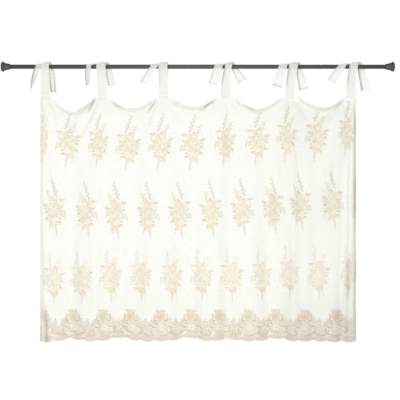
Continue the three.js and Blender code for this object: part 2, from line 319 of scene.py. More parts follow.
def tie_finish():
    """A plain weave. along and across run over the strip in millimetres."""
    material, paint = new_material("ivory_voile")
    turn = 2 * math.pi / WEAVE_PITCH
    weave = (paint.stored("along") * turn).sine() * (paint.stored("across") * turn).sine()
    # Painted shade in the pleats at the rod and along folded edges and hemmed ends
    shaded = paint.stored("shaded")
    set_surface(
        material,
        # The foot behind the hem is whitened with painted light
        Base_Color=shaded.blend(paint.stored("painted_foot_light").blend(TIE_COLOUR, TIE_FOOT_PAINTED_LIGHT), TIE_SHADED),
        Roughness=0.85,
        Specular_IOR_Level=0.2,
        Sheen_Weight=0.15,
        Alpha=weave * WEAVE_COVER + shaded * (1 - TIE_COVER) + TIE_COVER,
        Normal=weave.bump(*WEAVE_BUMP),
    )
    return material


NET = net_finish()
VOILE = tie_finish()
print("cloth finishes:", NET.name, VOILE.name)

# %% Embroidery yarn
YARN_PITCH = 0.7
YARN_BUMP = Bump(0.16, 0.7)
BLUSH_YARN = from_srgb(253, 243, 231)
BUTTER_YARN = from_srgb(247, 242, 216)
LEAF_YARN = from_srgb(240, 240, 226)
STEM_YARN = from_srgb(232, 232, 217)
BRONZE_YARN = from_srgb(232, 220, 193)
LACE_GROUND = from_srgb(242, 233, 213)
LACE_PETAL = from_srgb(251, 245, 231)
LACE_CORD = from_srgb(213, 200, 173)
CREAM_YARN = from_srgb(255, 251, 236)
EDGE_SHADE = 0.26
EDGE_FROM = 0.35
FOLD_SHADE = 0.4


def yarn_finish():
    """shade_of_yarn picks the yarn by number, a fraction blends two, and warmth turns blush to butter."""
    material, paint = new_material("embroidery_yarn")
    kind = paint.stored("shade_of_yarn")
    yarn = paint.stored("warmth").blend(BLUSH_YARN, BUTTER_YARN)
    others = (LEAF_YARN, STEM_YARN, BRONZE_YARN, LACE_GROUND, LACE_PETAL, LACE_CORD, CREAM_YARN)
    for number, colour in enumerate(others):
        yarn = kind.between(number, number + 1.0).blend(yarn, colour)
    light = 1 - paint.stored("near_edge").between(EDGE_FROM, 1.0) * EDGE_SHADE
    # Painted shade dims the yarn where the cloth is gathered
    light = light * (1 - paint.stored("crowded_and_shaded").between(SHADE_FROM, 1.0) * FOLD_SHADE)
    # The yarn of the lowest row is paled with painted light
    yarn = paint.stored("faded").blend(yarn, CREAM_YARN)
    shaded = paint.node("ShaderNodeVectorMath", {"operation": "SCALE"}, {"Vector": yarn, "Scale": light})
    stitches = (paint.stored("along") * (2 * math.pi / YARN_PITCH)).sine()
    set_surface(
        material,
        Base_Color=shaded,
        Roughness=0.5,
        Specular_IOR_Level=0.3,
        Sheen_Weight=0.2,
        Normal=stitches.bump(*YARN_BUMP),
    )
    return material


YARN = yarn_finish()
print("yarn finish:", YARN.name)

# %% [markdown]
# ## How the cloth hangs
#
# The top edge is straight when the panel lies flat. Hung from six ties, it sags into a swag in
# each bay, and the slack gathers into long soft folds that deepen towards the hem. A simulation
# would give folds of its own, and these have to follow the real ones. So each fold, crease and
# swag is a row in a short table, the same as in the model's source, and one formula gives how far
# the cloth stands towards the room at any point.

# %% Sizes of the hung panel
PANEL_LEFT = -645.0
PANEL_RIGHT = 648.0
HEM_Z = -1116.0
BORDER_Z = HEM_Z + 4.0
LOBES = 22
LOBE_DROP = 10.0
Sag = namedtuple("Sag", "start end drop")
SIDE_SAG = Sag(430, 640, 5)
TOP_HEM = 15.0
SIDE_HEM = 12.0
SHOULDER = 25.0

End = namedtuple("End", "rod_x rod_width end_x end_z end_width twist")
Tie = namedtuple("Tie", "foot_x peak_z head_x head_width left_end right_end")
TIES = [
    Tie(-626, -123, -627, 35, End(-655, 20, -684, -93, 32, 78), End(-605, 15, -596, -103, 36, 46)),
    Tie(-393, -124, -397, 38, End(-448, 20, -453, -77, 30, 66), End(-369, 20, -357, -76, 36, 36)),
    Tie(-141, -119, -143, 37, End(-180, 30, -224, -68, 29, 8), End(-131, 20, -138, -70, 26, 20)),
    Tie(112, -118, 125, 28, End(84, 34, 63, -74, 38, 0), End(146, 18, 183, -58, 38, 6)),
    Tie(378, -116, 391, 36, End(348, 34, 324, -83, 38, 0), End(414, 20, 435, -91, 38, 6)),
    Tie(628, -118, 638, 34, End(589, 32, 546, -61, 36, 5), End(669, 22, 690, -94, 37, 10)),
]

Bay = namedtuple("Bay", "valley_x valley_z left_curve right_curve")
BAYS = [
    Bay(-518, -184, 1.7, 1.6),
    Bay(-264, -171, 2.1, 1.7),
    Bay(-18, -163, 1.9, 2.1),
    Bay(246, -175, 1.55, 1.7),
    Bay(512, -166, 1.8, 2.3),
]

Fold = namedtuple("Fold", "top_x hem_x spread top_relief hem_relief lift")
FOLDS = [
    Fold(-618, -610, 42, 3, 12, 0),
    Fold(-516, -524, 52, -9, -24, 9),
    Fold(-400, -438, 50, 6, 16, 0),
    Fold(-268, -318, 55, -7, -26, 11),
    Fold(-142, -196, 52, 6, 18, 0),
    Fold(-20, -38, 50, -6, -25, 12),
    Fold(112, 40, 42, 6, 12, 0),
    Fold(160, 124, 38, 0, -17, 8),
    Fold(196, 214, 42, 0, 15, 0),
    Fold(260, 320, 48, -7, -24, 8),
    Fold(382, 407, 46, 6, 14, 0),
    Fold(512, 472, 48, -7, -10, 0),
    Fold(560, 546, 34, 1, 10, 0),
    Fold(598, 592, 22, -5, -13, 0),
    Fold(634, 632, 20, 2, 9, 0),
]

Ripple = namedtuple("Ripple", "pitch drift wander top_relief hem_relief")
RIPPLE = Ripple(73, 410, 0.9, 0.6, 3.2)
print("ties:", len(TIES), "folds:", len(FOLDS))

# %% Creases
Crease = namedtuple("Crease", "tie lean relief reach")
CREASES = [
    Crease(0, 0.24, -5, 190), Crease(0, 0.7, -5, 110),
    Crease(1, -0.5, -6, 150), Crease(1, -0.06, -4, 120), Crease(1, 0.75, -5, 90),
    Crease(2, -0.6, -6, 140), Crease(2, -0.1, -4, 130), Crease(2, 0.68, -5, 140),
    Crease(3, -0.9, -6, 100), Crease(3, -0.05, -4, 110), Crease(3, 0.8, -5, 100),
    Crease(4, -0.25, -4, 120), Crease(4, 0.62, -6, 150),
    Crease(5, -0.9, -6, 150), Crease(5, -0.15, -4, 110),
]
CREASE_START = 16.0
CREASE_SPREAD = 8.0
CREASE_WIDENING = 0.12

Held = namedtuple("Held", "across across_free down down_free")
HELD = Held(24, 75, 18, 95)
print("creases:", len(CREASES))

# %% Finer lines
# Each from one point to another, too fine for the model's solid. A strong crowd also paints shade, and
# where crowd is below 0 the net is made more open and lighter
Line = namedtuple("Line", "from_x from_z to_x to_z spread relief crowd")
LINES = [
    # Long lines down the cloth
    Line(-611, -150, -606, -390, 4, -2.2, 0.25),
    Line(-606, -360, -602, -450, 3, -2.0, 0.5),
    Line(-602, -440, -585, -530, 4, -2.0, 0.6),
    Line(-398, -235, -398, -385, 4, -2.0, 0.55),
    Line(-397, -382, -399, -520, 6, -1.6, 0.2),
    Line(325, -361, 337, -450, 6, -1.6, 0.2),
    Line(392, -300, 423, -505, 5, -2.4, 0.15),
    Line(378, -648, 376, -956, 7, -1.8, 0.1),
    Line(-150, -350, -196, -700, 9, 1.6, 0.0),
    Line(596, -240, 574, -1080, 7, -1.6, 0.05),
    Line(552, -390, 546, -490, 9, -2.0, 0.3),
    Line(618, -380, 611, -1090, 4, -2.6, 0.3),
    # Folded edges and creases that lead down from the ties, darkened with painted shade
    Line(-421, -131, -449, -188, 6, 5.0, 0.85),
    Line(-348, -146, -310, -178, 7, 4.0, 0.42),
    Line(-174, -140, -206, -192, 5, 5.0, 0.8),
    Line(-112, -138, -84, -166, 6, 3.0, 0.35),
    Line(70, -130, 14, -180, 6, 5.0, 0.75),
    Line(180, -138, 231, -185, 7, 3.0, 0.48),
    Line(320, -146, 262, -178, 5, 4.0, 0.45),
    Line(408, -132, 440, -212, 5, 4.0, 0.12),
    Line(600, -132, 560, -166, 6, 5.0, 0.42),
    Line(566, -168, 496, -187, 6, 4.0, 0.32),
    Line(592, -146, 508, -220, 5, 2.0, 0.25),
    Line(-425, -140, -508, -215, 7, 2.0, 0.38),
    Line(-412, -160, -478, -300, 6, 1.8, 0.45),
    Line(-600, -160, -566, -290, 6, 1.8, 0.45),
    Line(-170, -160, -212, -290, 6, 1.6, 0.4),
    # Low down beside both side hems
    Line(620, -770, 612, -960, 14, -2.0, 0.35),
    Line(610, -1000, 606, -1165, 10, -2.0, 0.2),
    Line(588, -985, 588, -1165, 18, -2.0, 0.22),
    Line(630, -960, 632, -1165, 16, -2.0, 0.12),
    Line(-631, -640, -629, -1010, 4, -2.0, 0.45),
    Line(-622, -995, -618, -1165, 9, -2.0, 0.62),
    Line(-628, -760, -627, -900, 5, -2.0, 0.4),
    # Broad patches where the net is darker and closer, and two where it is lighter and more open
    Line(190, -200, 190, -430, 170, 0.6, 0.14),
    Line(112, -250, 112, -390, 34, 0.6, 0.42),
    Line(612, -200, 612, -350, 22, 0.6, 0.2),
    Line(304, -500, 312, -660, 24, 0.6, 0.32),
    Line(402, -510, 412, -640, 18, 0.6, 0.2),
    Line(515, -500, 522, -640, 20, 0.6, 0.22),
    Line(446, -400, 448, -1010, 30, 0.8, -0.16),
    Line(576, -600, 572, -790, 10, 0.8, -0.15),
]
LINE_FADE = 45.0
LINE_FADE_SHARE = 0.35
print("finer lines:", len(LINES))

# %% Rolled places of the top edge
# Beside a tie the edge rolls towards the room and the cloth bunches up
Roll = namedtuple("Roll", "x spread forward crowd")
ROLLS = [
    Roll(-560, 26, 4, 0.2), Roll(-432, 22, 9, 0.15), Roll(-330, 20, 6, 0.2), Roll(-184, 20, 9, 0.15),
    Roll(-66, 30, 3, 0.1), Roll(58, 22, 7, 0.15), Roll(206, 20, 6, 0.2), Roll(318, 24, 7, 0.15),
    Roll(418, 18, 3, 0.2), Roll(580, 26, 7, 0.15),
]
ROLL_DEPTH = 22.0
print("rolled places:", len(ROLLS))


# %% The panel's edges
def ease(low, high, value):
    """0 below low, 1 above high and a smooth step between them."""
    share = np.clip((value - low) / (high - low), 0, 1)
    return share * share * (3 - 2 * share)


def bell(distance, spread):
    """1 in the middle, and less the further off on both sides."""
    return np.exp(-((distance / spread) ** 2))


def lerp(first, second, share):
    """The first value where the share is 0, the second where it is 1, and a blend between them."""
    return first + (second - first) * share


def top_edge(x):
    """Level where a tie is sewn on, and a slack swag between two ties."""
    edge = np.full(np.shape(x), float(TIES[0].peak_z))
    for left, right, bay in zip(TIES, TIES[1:], BAYS):
        sides = [(left, left.foot_x + SHOULDER, bay.left_curve),
                 (right, right.foot_x - SHOULDER, bay.right_curve)]
        for tie, shoulder, curve in sides:
            share = (x - shoulder) / (bay.valley_x - shoulder)
            inside = (share >= 0) & (share <= 1)
            swag = 1 - (1 - np.clip(share, 0, 1)) ** curve
            edge = np.where(inside, lerp(tie.peak_z, bay.valley_z, swag), edge)
        edge = np.where(x > right.foot_x - SHOULDER, right.peak_z, edge)
    return edge


def hem_edge(x):
    """Round lobes, lifted a little where a fold lies back and lower at the sides."""
    lobe = (x - PANEL_LEFT) / (PANEL_RIGHT - PANEL_LEFT) * LOBES
    edge = HEM_Z - LOBE_DROP * np.sqrt(np.abs(np.sin(np.pi * lobe)))
    edge = edge - SIDE_SAG.drop * ease(SIDE_SAG.start, SIDE_SAG.end, np.abs(x))
    for fold in FOLDS:
        edge = edge + fold.lift * bell(x - fold.hem_x, fold.spread)
    return edge


SAMPLE_COLUMNS, SAMPLE_ROWS = 400, 60
whole_width = np.linspace(PANEL_LEFT, PANEL_RIGHT, SAMPLE_COLUMNS)
print("top edge from", round(top_edge(whole_width).min()), "to", round(top_edge(whole_width).max()))


# %% How far the cloth stands towards the room
def crease_lines(x, z):
    """Each crease with its strength at a point, how far below its tie and how far off its line."""
    for crease in CREASES:
        tie = TIES[crease.tie]
        down = tie.peak_z - z
        fade = ease(CREASE_START, 3 * CREASE_START, down)
        fade = fade * (1 - ease(crease.reach / 2, crease.reach, down))
        yield crease, fade, down, x - tie.foot_x - crease.lean * down


def line_shape(x, z, line):
    """1 on the line, fading beside it and towards both its ends."""
    run_x = line.to_x - line.from_x
    run_z = line.to_z - line.from_z
    length = math.hypot(run_x, run_z)
    along = ((x - line.from_x) * run_x + (z - line.from_z) * run_z) / length
    off = ((x - line.from_x) * run_z - (z - line.from_z) * run_x) / length
    reach = min(LINE_FADE, LINE_FADE_SHARE * length)
    fade = ease(-reach, reach, along) * ease(-reach, reach, length - along)
    return fade * bell(off, line.spread)


def freedom(x, z):
    """0 where a tie holds the cloth flat and 1 where it hangs free."""
    free = np.ones(np.shape(x))
    for tie in TIES:
        beside = ease(HELD.across, HELD.across_free, np.abs(x - tie.foot_x))
        below = ease(HELD.down, HELD.down_free, tie.peak_z - z)
        free = np.minimum(free, np.maximum(beside, below))
    return free


def relief(x, z):
    """How far the cloth stands towards the room."""
    top = top_edge(x)
    settled = np.clip((top - z) / (top - HEM_Z), 0, 1)
    wander = RIPPLE.wander * np.sin(2 * np.pi * x / RIPPLE.drift)
    ripple = np.sin(2 * np.pi * x / RIPPLE.pitch + wander)
    height = lerp(RIPPLE.top_relief, RIPPLE.hem_relief, settled) * ripple
    for fold in FOLDS:
        centre = lerp(fold.top_x, fold.hem_x, settled)
        height += lerp(fold.top_relief, fold.hem_relief, settled) * bell(x - centre, fold.spread)
    for crease, fade, down, off in crease_lines(x, z):
        spread = CREASE_SPREAD + CREASE_WIDENING * np.maximum(down, 0)
        height += crease.relief * fade * bell(off, spread)
    height *= freedom(x, z)
    for line in LINES:
        height += line.relief * line_shape(x, z, line)
    near_edge = 1 - ease(0, ROLL_DEPTH, top - z)
    for roll in ROLLS:
        height += roll.forward * near_edge * bell(x - roll.x, roll.spread)
    return height


sample_x, sample_z = np.meshgrid(whole_width, np.linspace(HEM_Z, BAYS[0].valley_z, SAMPLE_ROWS))
sample = relief(sample_x, sample_z)
print("relief from", round(sample.min(), 1), "to", round(sample.max(), 1), "mm")

# %% [markdown]
# ## Gathered cloth
#
# Where the net lies in close small folds, less shows through it and it lies in shade. Each of those
# folds could be modelled, but that would take millions of faces. So a second formula gives how
# closely the cloth is gathered at any point, from 0 where it hangs free to 1 where no gap is left.
# The net reads it as cover, and past a threshold the net and the yarn read it as painted shade.

# %% Where the cloth is gathered
ROLL_FULL = 4.0
HEM_CROWD, HEM_SPREAD = 0.24, 65.0
HEM_END = (TOP_HEM - 2, TOP_HEM + 3)
TIGHT_FROM, TIGHT_TO = 15.0, 55.0
CREASE_CROWD = 0.28
CREASE_LINE = 4.0
CREASE_LINE_WIDENING = 0.04

# Below the top hem and below each tie the cloth is a little bunched up all over
Bunched = namedtuple("Bunched", "crowd from_depth to_depth")
BELOW_HEM = Bunched(0.36, 22, 70)
BELOW_TIE = Bunched(0.1, 30, 95)
BELOW_TIE_ACROSS = 46.0

# The net is closer and darker towards the right and low down, most where both meet
Closer = namedtuple("Closer", "start end crowd")
TO_THE_RIGHT = Closer(180, 380, 0.42)
LOW_DOWN = Closer(840, 1000, 0.33)
BOTH_CROWD = 0.1

# Both side edges are rolled back more tightly in some places than in others, with painted shade there
RolledEdge = namedtuple("RolledEdge", "z crowd")
LEFT_EDGE = [
    RolledEdge(-1115, 0.6), RolledEdge(-1050, 0.1), RolledEdge(-980, 0.0), RolledEdge(-400, 0.0),
    RolledEdge(-360, 0.3), RolledEdge(-230, 0.35), RolledEdge(-190, 0.1),
]
RIGHT_EDGE = [
    RolledEdge(-1115, 0.55), RolledEdge(-1030, 0.3), RolledEdge(-960, 0.1), RolledEdge(-900, 0.3),
    RolledEdge(-850, 0.7), RolledEdge(-730, 0.1), RolledEdge(-630, 0.3), RolledEdge(-590, 0.85),
    RolledEdge(-480, 0.88), RolledEdge(-440, 0.4), RolledEdge(-300, 0.35), RolledEdge(-230, 0.65),
    RolledEdge(-180, 0.1), RolledEdge(-120, 0.1),
]
ROLLED_IN = 0.4 * SIDE_HEM
print("rolled places of the side edges:", len(LEFT_EDGE) + len(RIGHT_EDGE))


# %% How closely the cloth is gathered
def in_top_hem(depth):
    """1 in the turned top hem and 0 below it."""
    return 1 - ease(*HEM_END, depth)


def crowding_and_shade(x, z):
    """0 where the cloth hangs free, 1 where no gap is left and below 0 where the net is made more open.
    Past a threshold it also paints shade.
    """
    depth = top_edge(x) - z
    in_hem = in_top_hem(depth)
    from_side = np.minimum(x - PANEL_LEFT, PANEL_RIGHT - x)
    below = (1 - in_hem) * ease(0, 2 * SIDE_HEM, from_side)
    hem_fade = below * (1 - ease(BELOW_HEM.from_depth, BELOW_HEM.to_depth, depth))
    tie_fade = below * (1 - ease(BELOW_TIE.from_depth, BELOW_TIE.to_depth, depth))
    near_tie = np.max([bell(x - tie.foot_x, BELOW_TIE_ACROSS) for tie in TIES], axis=0)
    right = ease(TO_THE_RIGHT.start, TO_THE_RIGHT.end, x) * ease(TOP_HEM, 4 * TOP_HEM, depth)
    low = ease(LOW_DOWN.start, LOW_DOWN.end, -z)
    closer = np.maximum(TO_THE_RIGHT.crowd * right, LOW_DOWN.crowd * low) + BOTH_CROWD * right * low
    roll_fade = 1 - ease(ROLL_FULL, ROLL_DEPTH, depth)

    crowds = [BELOW_HEM.crowd * hem_fade, BELOW_TIE.crowd * tie_fade * near_tie, closer]
    crowds += [HEM_CROWD * in_hem * bell(x - bay.valley_x, HEM_SPREAD) for bay in BAYS]
    crowds += [roll.crowd * roll_fade * bell(x - roll.x, roll.spread) for roll in ROLLS]
    crowds += [line.crowd * line_shape(x, z, line) for line in LINES]
    for _, fade, down, off in crease_lines(x, z):
        crowds.append(CREASE_CROWD * fade * bell(off, CREASE_LINE + CREASE_LINE_WIDENING * down))
    for edge, inwards in ((LEFT_EDGE, x - PANEL_LEFT), (RIGHT_EDGE, PANEL_RIGHT - x)):
        rolled = np.interp(z, [place.z for place in edge], [place.crowd for place in edge])
        crowds.append(rolled * (1 - ease(ROLLED_IN, SIDE_HEM, inwards)))
    open_share = 1.0
    for crowd in crowds:
        open_share = open_share * (1 - crowd)
    return 1 - open_share


def tightness_and_light(x, z):
    """1 in the top hem where a tie is stitched on, fading off to the sides. The net's cover is lowered
    there and it is whitened with painted light.
    """
    tight_and_lit = np.zeros(np.shape(x))
    for tie in TIES:
        tight_and_lit += 1 - ease(TIGHT_FROM, TIGHT_TO, np.abs(x - tie.foot_x))
    return tight_and_lit * in_top_hem(top_edge(x) - z)


print("gathered by", round(float(crowding_and_shade(sample_x, sample_z).mean()), 2), "on average")

# %% [markdown]
# ## The panel
#
# The panel is one width of sheer net. A cloth with a front and a back, as a Solidify modifier would
# give it, would look twice as dense, so the mesh is one thin layer: a fine grid from the top edge
# to the scalloped hem. At the top and at both sides the hem is turned in twice, so the grid goes on
# behind, back and forth, for the width of the hem. Three layers of net lie there, and they look
# denser, as they do on the real curtain.

# %% Mesh helpers
def grid_faces(rows, columns, first=0):
    """The four corners of each cell in a grid of points, whose numbers start at first."""
    index = np.arange(rows * columns).reshape(rows, columns) + first
    corners = [index[:-1, :-1], index[1:, :-1], index[1:, 1:], index[:-1, 1:]]
    return np.stack(corners, axis=-1).reshape(-1, 4)


def add_mesh(name, points_mm, faces, material, values=None):
    """A smooth mesh from points in millimetres, with values as named numbers at its points."""
    mesh = bpy.data.meshes.new(name)
    mesh.from_pydata((np.asarray(points_mm) * MM).tolist(), [], np.asarray(faces).tolist())
    for key, numbers in (values or {}).items():
        attribute = mesh.attributes.new(key, "FLOAT", "POINT")
        attribute.data.foreach_set("value", np.asarray(numbers, dtype=np.float32))
    mesh.materials.append(material)
    mesh.shade_smooth()
    mesh.update()
    piece = bpy.data.objects.new(name, mesh)
    bpy.context.collection.objects.link(piece)
    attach(piece, "root")
    return piece


print("mesh helpers ready")

# %% The net panel
COLUMNS_PER_LOBE = 14
ROWS = 214
HEM_STEPS = 4
HEM_LAYER = 0.7
HEM_ROUND = 0.5
RAW_EDGE = 0.06


def turned_hem(width):
    """How far in from the edge each line of a hem lies, and on which layer, from the raw edge out."""
    inside = np.linspace(RAW_EDGE, 1, HEM_STEPS + 1) * width
    middle_layer = np.linspace(1, 0, HEM_STEPS + 1)[:-1] * width
    depth = np.concatenate([inside, middle_layer, [HEM_ROUND, 0]])
    layer = np.concatenate([np.full(inside.size, 2.0), np.full(middle_layer.size + 1, 1.0), [0.5]])
    return depth, layer


def panel_mesh():
    """The net with its turned hems. In the corners only the top hem's layers are kept."""
    side_depth, layers = turned_hem(SIDE_HEM)
    face_x = np.linspace(PANEL_LEFT + HEM_ROUND, PANEL_RIGHT - HEM_ROUND, LOBES * COLUMNS_PER_LOBE + 1)
    x = np.concatenate([PANEL_LEFT + side_depth, face_x, PANEL_RIGHT - side_depth[::-1]])
    column_layer = np.concatenate([layers, np.zeros(face_x.size), layers[::-1]])
    top = top_edge(x)
    hem = hem_edge(x)
    top_depth, top_layer = turned_hem(TOP_HEM)
    share = np.linspace(0, 1, ROWS + 1)[:, None]
    face_top = top - HEM_ROUND
    z = np.concatenate([top - top_depth[:, None], face_top + (hem - face_top) * share])
    row_layer = np.concatenate([top_layer, np.zeros(ROWS + 1)])
    x = np.broadcast_to(x, z.shape)
    layer = column_layer[None, :] + row_layer[:, None]
    y = HEM_LAYER * layer - relief(x, z)
    points = np.stack([x, y, z], axis=-1).reshape(-1, 3)
    values = {"crowded_and_shaded": crowding_and_shade(x, z).ravel(), "tight_and_lit": tightness_and_light(x, z).ravel()}
    faces = grid_faces(*z.shape)
    in_both_hems = ((column_layer[None, :] >= 1) & (top - z < HEM_END[0])).ravel()
    corner = in_both_hems[faces].any(axis=1)
    return points, faces[~corner], values


panel_points, panel_faces, panel_values = panel_mesh()
panel = add_mesh("net_panel", panel_points, panel_faces, NET, panel_values)
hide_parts("panel")
print("panel faces:", len(panel_faces) * 2)

# %% [markdown]
# ## Embroidery pads
#
# A satin stitch is a pad of yarn laid side by side across a narrow shape: a petal, a leaf or a
# stem. It could be painted on the net, but it would then be as sheer and as flat as the net. So each
# is made as one small domed strip: a middle line, a width along it and a height. A whole spray is
# drawn once, flat, from rows of flowers and leaves, then set on the cloth many times. Each point
# takes its depth from the cloth's own formula, so the yarn follows the folds.

# %% A pad of yarn
PAD_FOOT = 0.25
GROOVE_WIDTH = 0.25
ROOT_SHADE, ROOT_REACH = 0.8, 0.3

# The yarns by number. A fraction between two of them is a blend of both
PETAL, LEAF, STEM, BRONZE, GROUND, LACE, CORD, CREAM = range(8)


def run_length(line):
    """How far along a line of points each of them lies."""
    return np.concatenate([[0], np.cumsum(np.linalg.norm(np.diff(line, axis=0), axis=1))])


class Stitching:
    """Pads of yarn, drawn flat in millimetres: x to the right, z up, height off the cloth."""

    def __init__(self):
        self.points = []
        self.faces = []
        self.values = {}
        self.pad_of_point = []
        self.pad_of_face = []
        self.count = 0

    def pad(self, spine, half_width, height, shade, warmth=0.5, across=4, groove=0.0, lift=0.0):
        """One domed strip. half_width is one number, or one for each point of the spine."""
        spine = np.asarray(spine, dtype=float)
        half_width = np.broadcast_to(np.asarray(half_width, dtype=float), len(spine))
        run = np.gradient(spine, axis=0)
        run = run / np.linalg.norm(run, axis=1, keepdims=True)
        side = np.stack([-run[:, 1], run[:, 0]], axis=1)
        steps = np.sin(np.linspace(-np.pi / 2, np.pi / 2, across + 1))[None, :]
        points = spine[:, None, :] + side[:, None, :] * (half_width[:, None] * steps)[..., None]
        full = np.sqrt(half_width / half_width.max())[:, None]
        dome = (1 - steps ** 4) * (1 - groove * bell(steps, GROOVE_WIDTH))
        from_root = np.linspace(0, 1, len(spine))[:, None]
        root = ROOT_SHADE * (1 - ease(0, ROOT_REACH, from_root))
        made = {
            "height": lift + height * dome * full,
            "shade_of_yarn": shade,
            "warmth": warmth,
            "near_edge": np.maximum(np.abs(steps) ** 4, root),
            "along": run_length(spine)[:, None],
        }
        shape = points.shape[:2]
        for key, numbers in made.items():
            self.values.setdefault(key, []).append(np.broadcast_to(numbers, shape).ravel())
        faces = grid_faces(*shape, self.count)
        number = len(self.faces)
        self.points.append(points.reshape(-1, 2))
        self.faces.append(faces)
        self.pad_of_point.append(np.full(shape[0] * shape[1], number))
        self.pad_of_face.append(np.full(len(faces), number))
        self.count += shape[0] * shape[1]


def curve(points, count):
    """A smooth line in the plane: two points give a straight one, three a bend and four an S."""
    share = np.linspace(0, 1, count)[:, None]
    lines = [np.broadcast_to(np.asarray(point, dtype=float), (count, 2)) for point in points]
    while len(lines) > 1:
        lines = [lerp(first, second, share) for first, second in zip(lines, lines[1:])]
    return lines[0]


print("a bent line passes", curve([(0, 0), (5, 10), (0, 20)], 5)[2].tolist())

# %% Leaves, petals and knots
Leaf = namedtuple("Leaf", "base_x base_z tip_x tip_z width bend shade")
THREAD = 0.06
BROAD_STEPS = 6
LEAF_HEIGHT, LEAF_GROOVE = 0.8, 0.4
PETAL_HEIGHT, PETAL_GROOVE = 0.9, 0.15
KNOT_WARMTH = 0.8

# Half widths along a pad: a leaf is pointed, a petal widest near its outer end and a knot round
LEAF_OUTLINE = np.sin(np.pi * np.linspace(0, 1, 8) ** 0.8) ** 0.7
PETAL_OUTLINE = np.sin(np.pi * (0.1 + 0.9 * np.linspace(0, 1, 7) ** 1.7)) ** 0.6
KNOT_STEPS = np.linspace(-1, 1, 6)
KNOT_OUTLINE = np.sqrt(1 - KNOT_STEPS ** 2)


def leaf(cloth, row, lift=0.0):
    """A pointed pad with a groove along its middle, bent to one side."""
    base = np.array([row.base_x, row.base_z], float)
    tip = np.array([row.tip_x, row.tip_z], float)
    side = np.array([base[1] - tip[1], tip[0] - base[0]])
    bent = (base + tip) / 2 + row.bend * side / np.linalg.norm(side)
    spine = curve([base, bent, tip], len(LEAF_OUTLINE))
    outline = THREAD + row.width / 2 * LEAF_OUTLINE
    cloth.pad(spine, outline, LEAF_HEIGHT, row.shade, across=BROAD_STEPS, groove=LEAF_GROOVE, lift=lift)


def petal(cloth, centre, angle, inner, outer, width, warmth=0.5, lift=0.0, shade=PETAL):
    """A rounded pad that points away from a flower's centre."""
    direction = np.array([math.cos(angle), math.sin(angle)])
    centre = np.array(centre, float)
    spine = curve([centre + inner * direction, centre + outer * direction], len(PETAL_OUTLINE))
    outline = THREAD + width / 2 * PETAL_OUTLINE
    cloth.pad(spine, outline, PETAL_HEIGHT, shade, warmth, BROAD_STEPS, PETAL_GROOVE, lift)


def knot(cloth, centre, radius, shade, lift=0.0, height=1.0):
    """A round pad."""
    spine = np.array(centre, float) + np.stack([0 * KNOT_STEPS, KNOT_STEPS * radius], axis=1)
    cloth.pad(spine, THREAD + radius * KNOT_OUTLINE, height, shade, KNOT_WARMTH, lift=lift)


print("pads: leaf, petal, knot")

# %% Sprigs, cords and roses
Sprig = namedtuple("Sprig", "points width buds bud_length shades")
SPRIG_TAPER = 0.4
SPRIG_HEIGHT = 0.5
POINTS_PER_BUD = 3
BUD_FORWARD, BUD_ASIDE, BUD_WIDTH = 0.8, 0.6, 0.6
CORD_HEIGHT = 0.9
CORD_STEP, CORD_LEAST = 14, 6

PETAL_FILL = 1.8
PETAL_ROOT = 0.1
UNEVEN_LENGTH, UNEVEN_TONE, UNEVEN_STEP = 0.1, 0.4, 2.4
DEEP_PETAL = GROUND + 0.3
ROSE_ASIDE = 0.16
SHADE_DISC_SIZE, INNER_SIZE, HEART_SIZE, EYE_SIZE = 0.85, 0.62, 0.34, 0.17
OUTER_LIFT, INNER_LIFT, HEART_LIFT, EYE_LIFT = 0.1, 0.5, 0.9, 1.1
SHADE_DISC_HEIGHT = 0.15
HEART_PETALS, HEART_TURN = 3, 20


def sprig(cloth, row):
    """A thin stem with buds on both sides in turn, shorter towards its tip. Each side has its shade."""
    line = curve(row.points, POINTS_PER_BUD * row.buds + 1)
    taper = 1 - SPRIG_TAPER * np.linspace(0, 1, len(line))
    cloth.pad(line, row.width / 2 * taper, SPRIG_HEIGHT, row.shades[0])
    run = np.gradient(line, axis=0)
    for k in range(row.buds):
        at = POINTS_PER_BUD * k + 2
        forward = run[at] / np.linalg.norm(run[at])
        side = np.array([-forward[1], forward[0]]) * (1 if k % 2 else -1)
        reach = row.bud_length * taper[at]
        tip = line[at] + reach * (BUD_FORWARD * forward + BUD_ASIDE * side)
        leaf(cloth, Leaf(*line[at], *tip, BUD_WIDTH * reach, 0, row.shades[k % 2]))


def arc(cloth, centre, radius, degrees, width, shade, lift):
    """A cord of close stitches laid in a part of a circle."""
    count = CORD_LEAST + abs(degrees[1] - degrees[0]) // CORD_STEP
    turn = np.radians(np.linspace(*degrees, count))
    spine = np.array(centre, float) + radius * np.stack([np.cos(turn), np.sin(turn)], axis=1)
    cloth.pad(spine, width / 2, CORD_HEIGHT, shade, lift=lift)


def ring_of_petals(cloth, centre, radius, petals, turn, warmth, lift, shade):
    """Petals of slightly uneven length and tone, with a narrow gap from one to the next."""
    width = PETAL_FILL * radius * math.sin(math.pi / petals)
    for k in range(petals):
        angle = math.radians(turn) + 2 * math.pi * k / petals
        uneven = math.sin(UNEVEN_STEP * k + turn)
        tone = min(max(warmth + UNEVEN_TONE * uneven, 0), 1)
        reach = radius * (1 + UNEVEN_LENGTH * uneven)
        petal(cloth, centre, angle, PETAL_ROOT * radius, reach, width, tone, lift, shade)


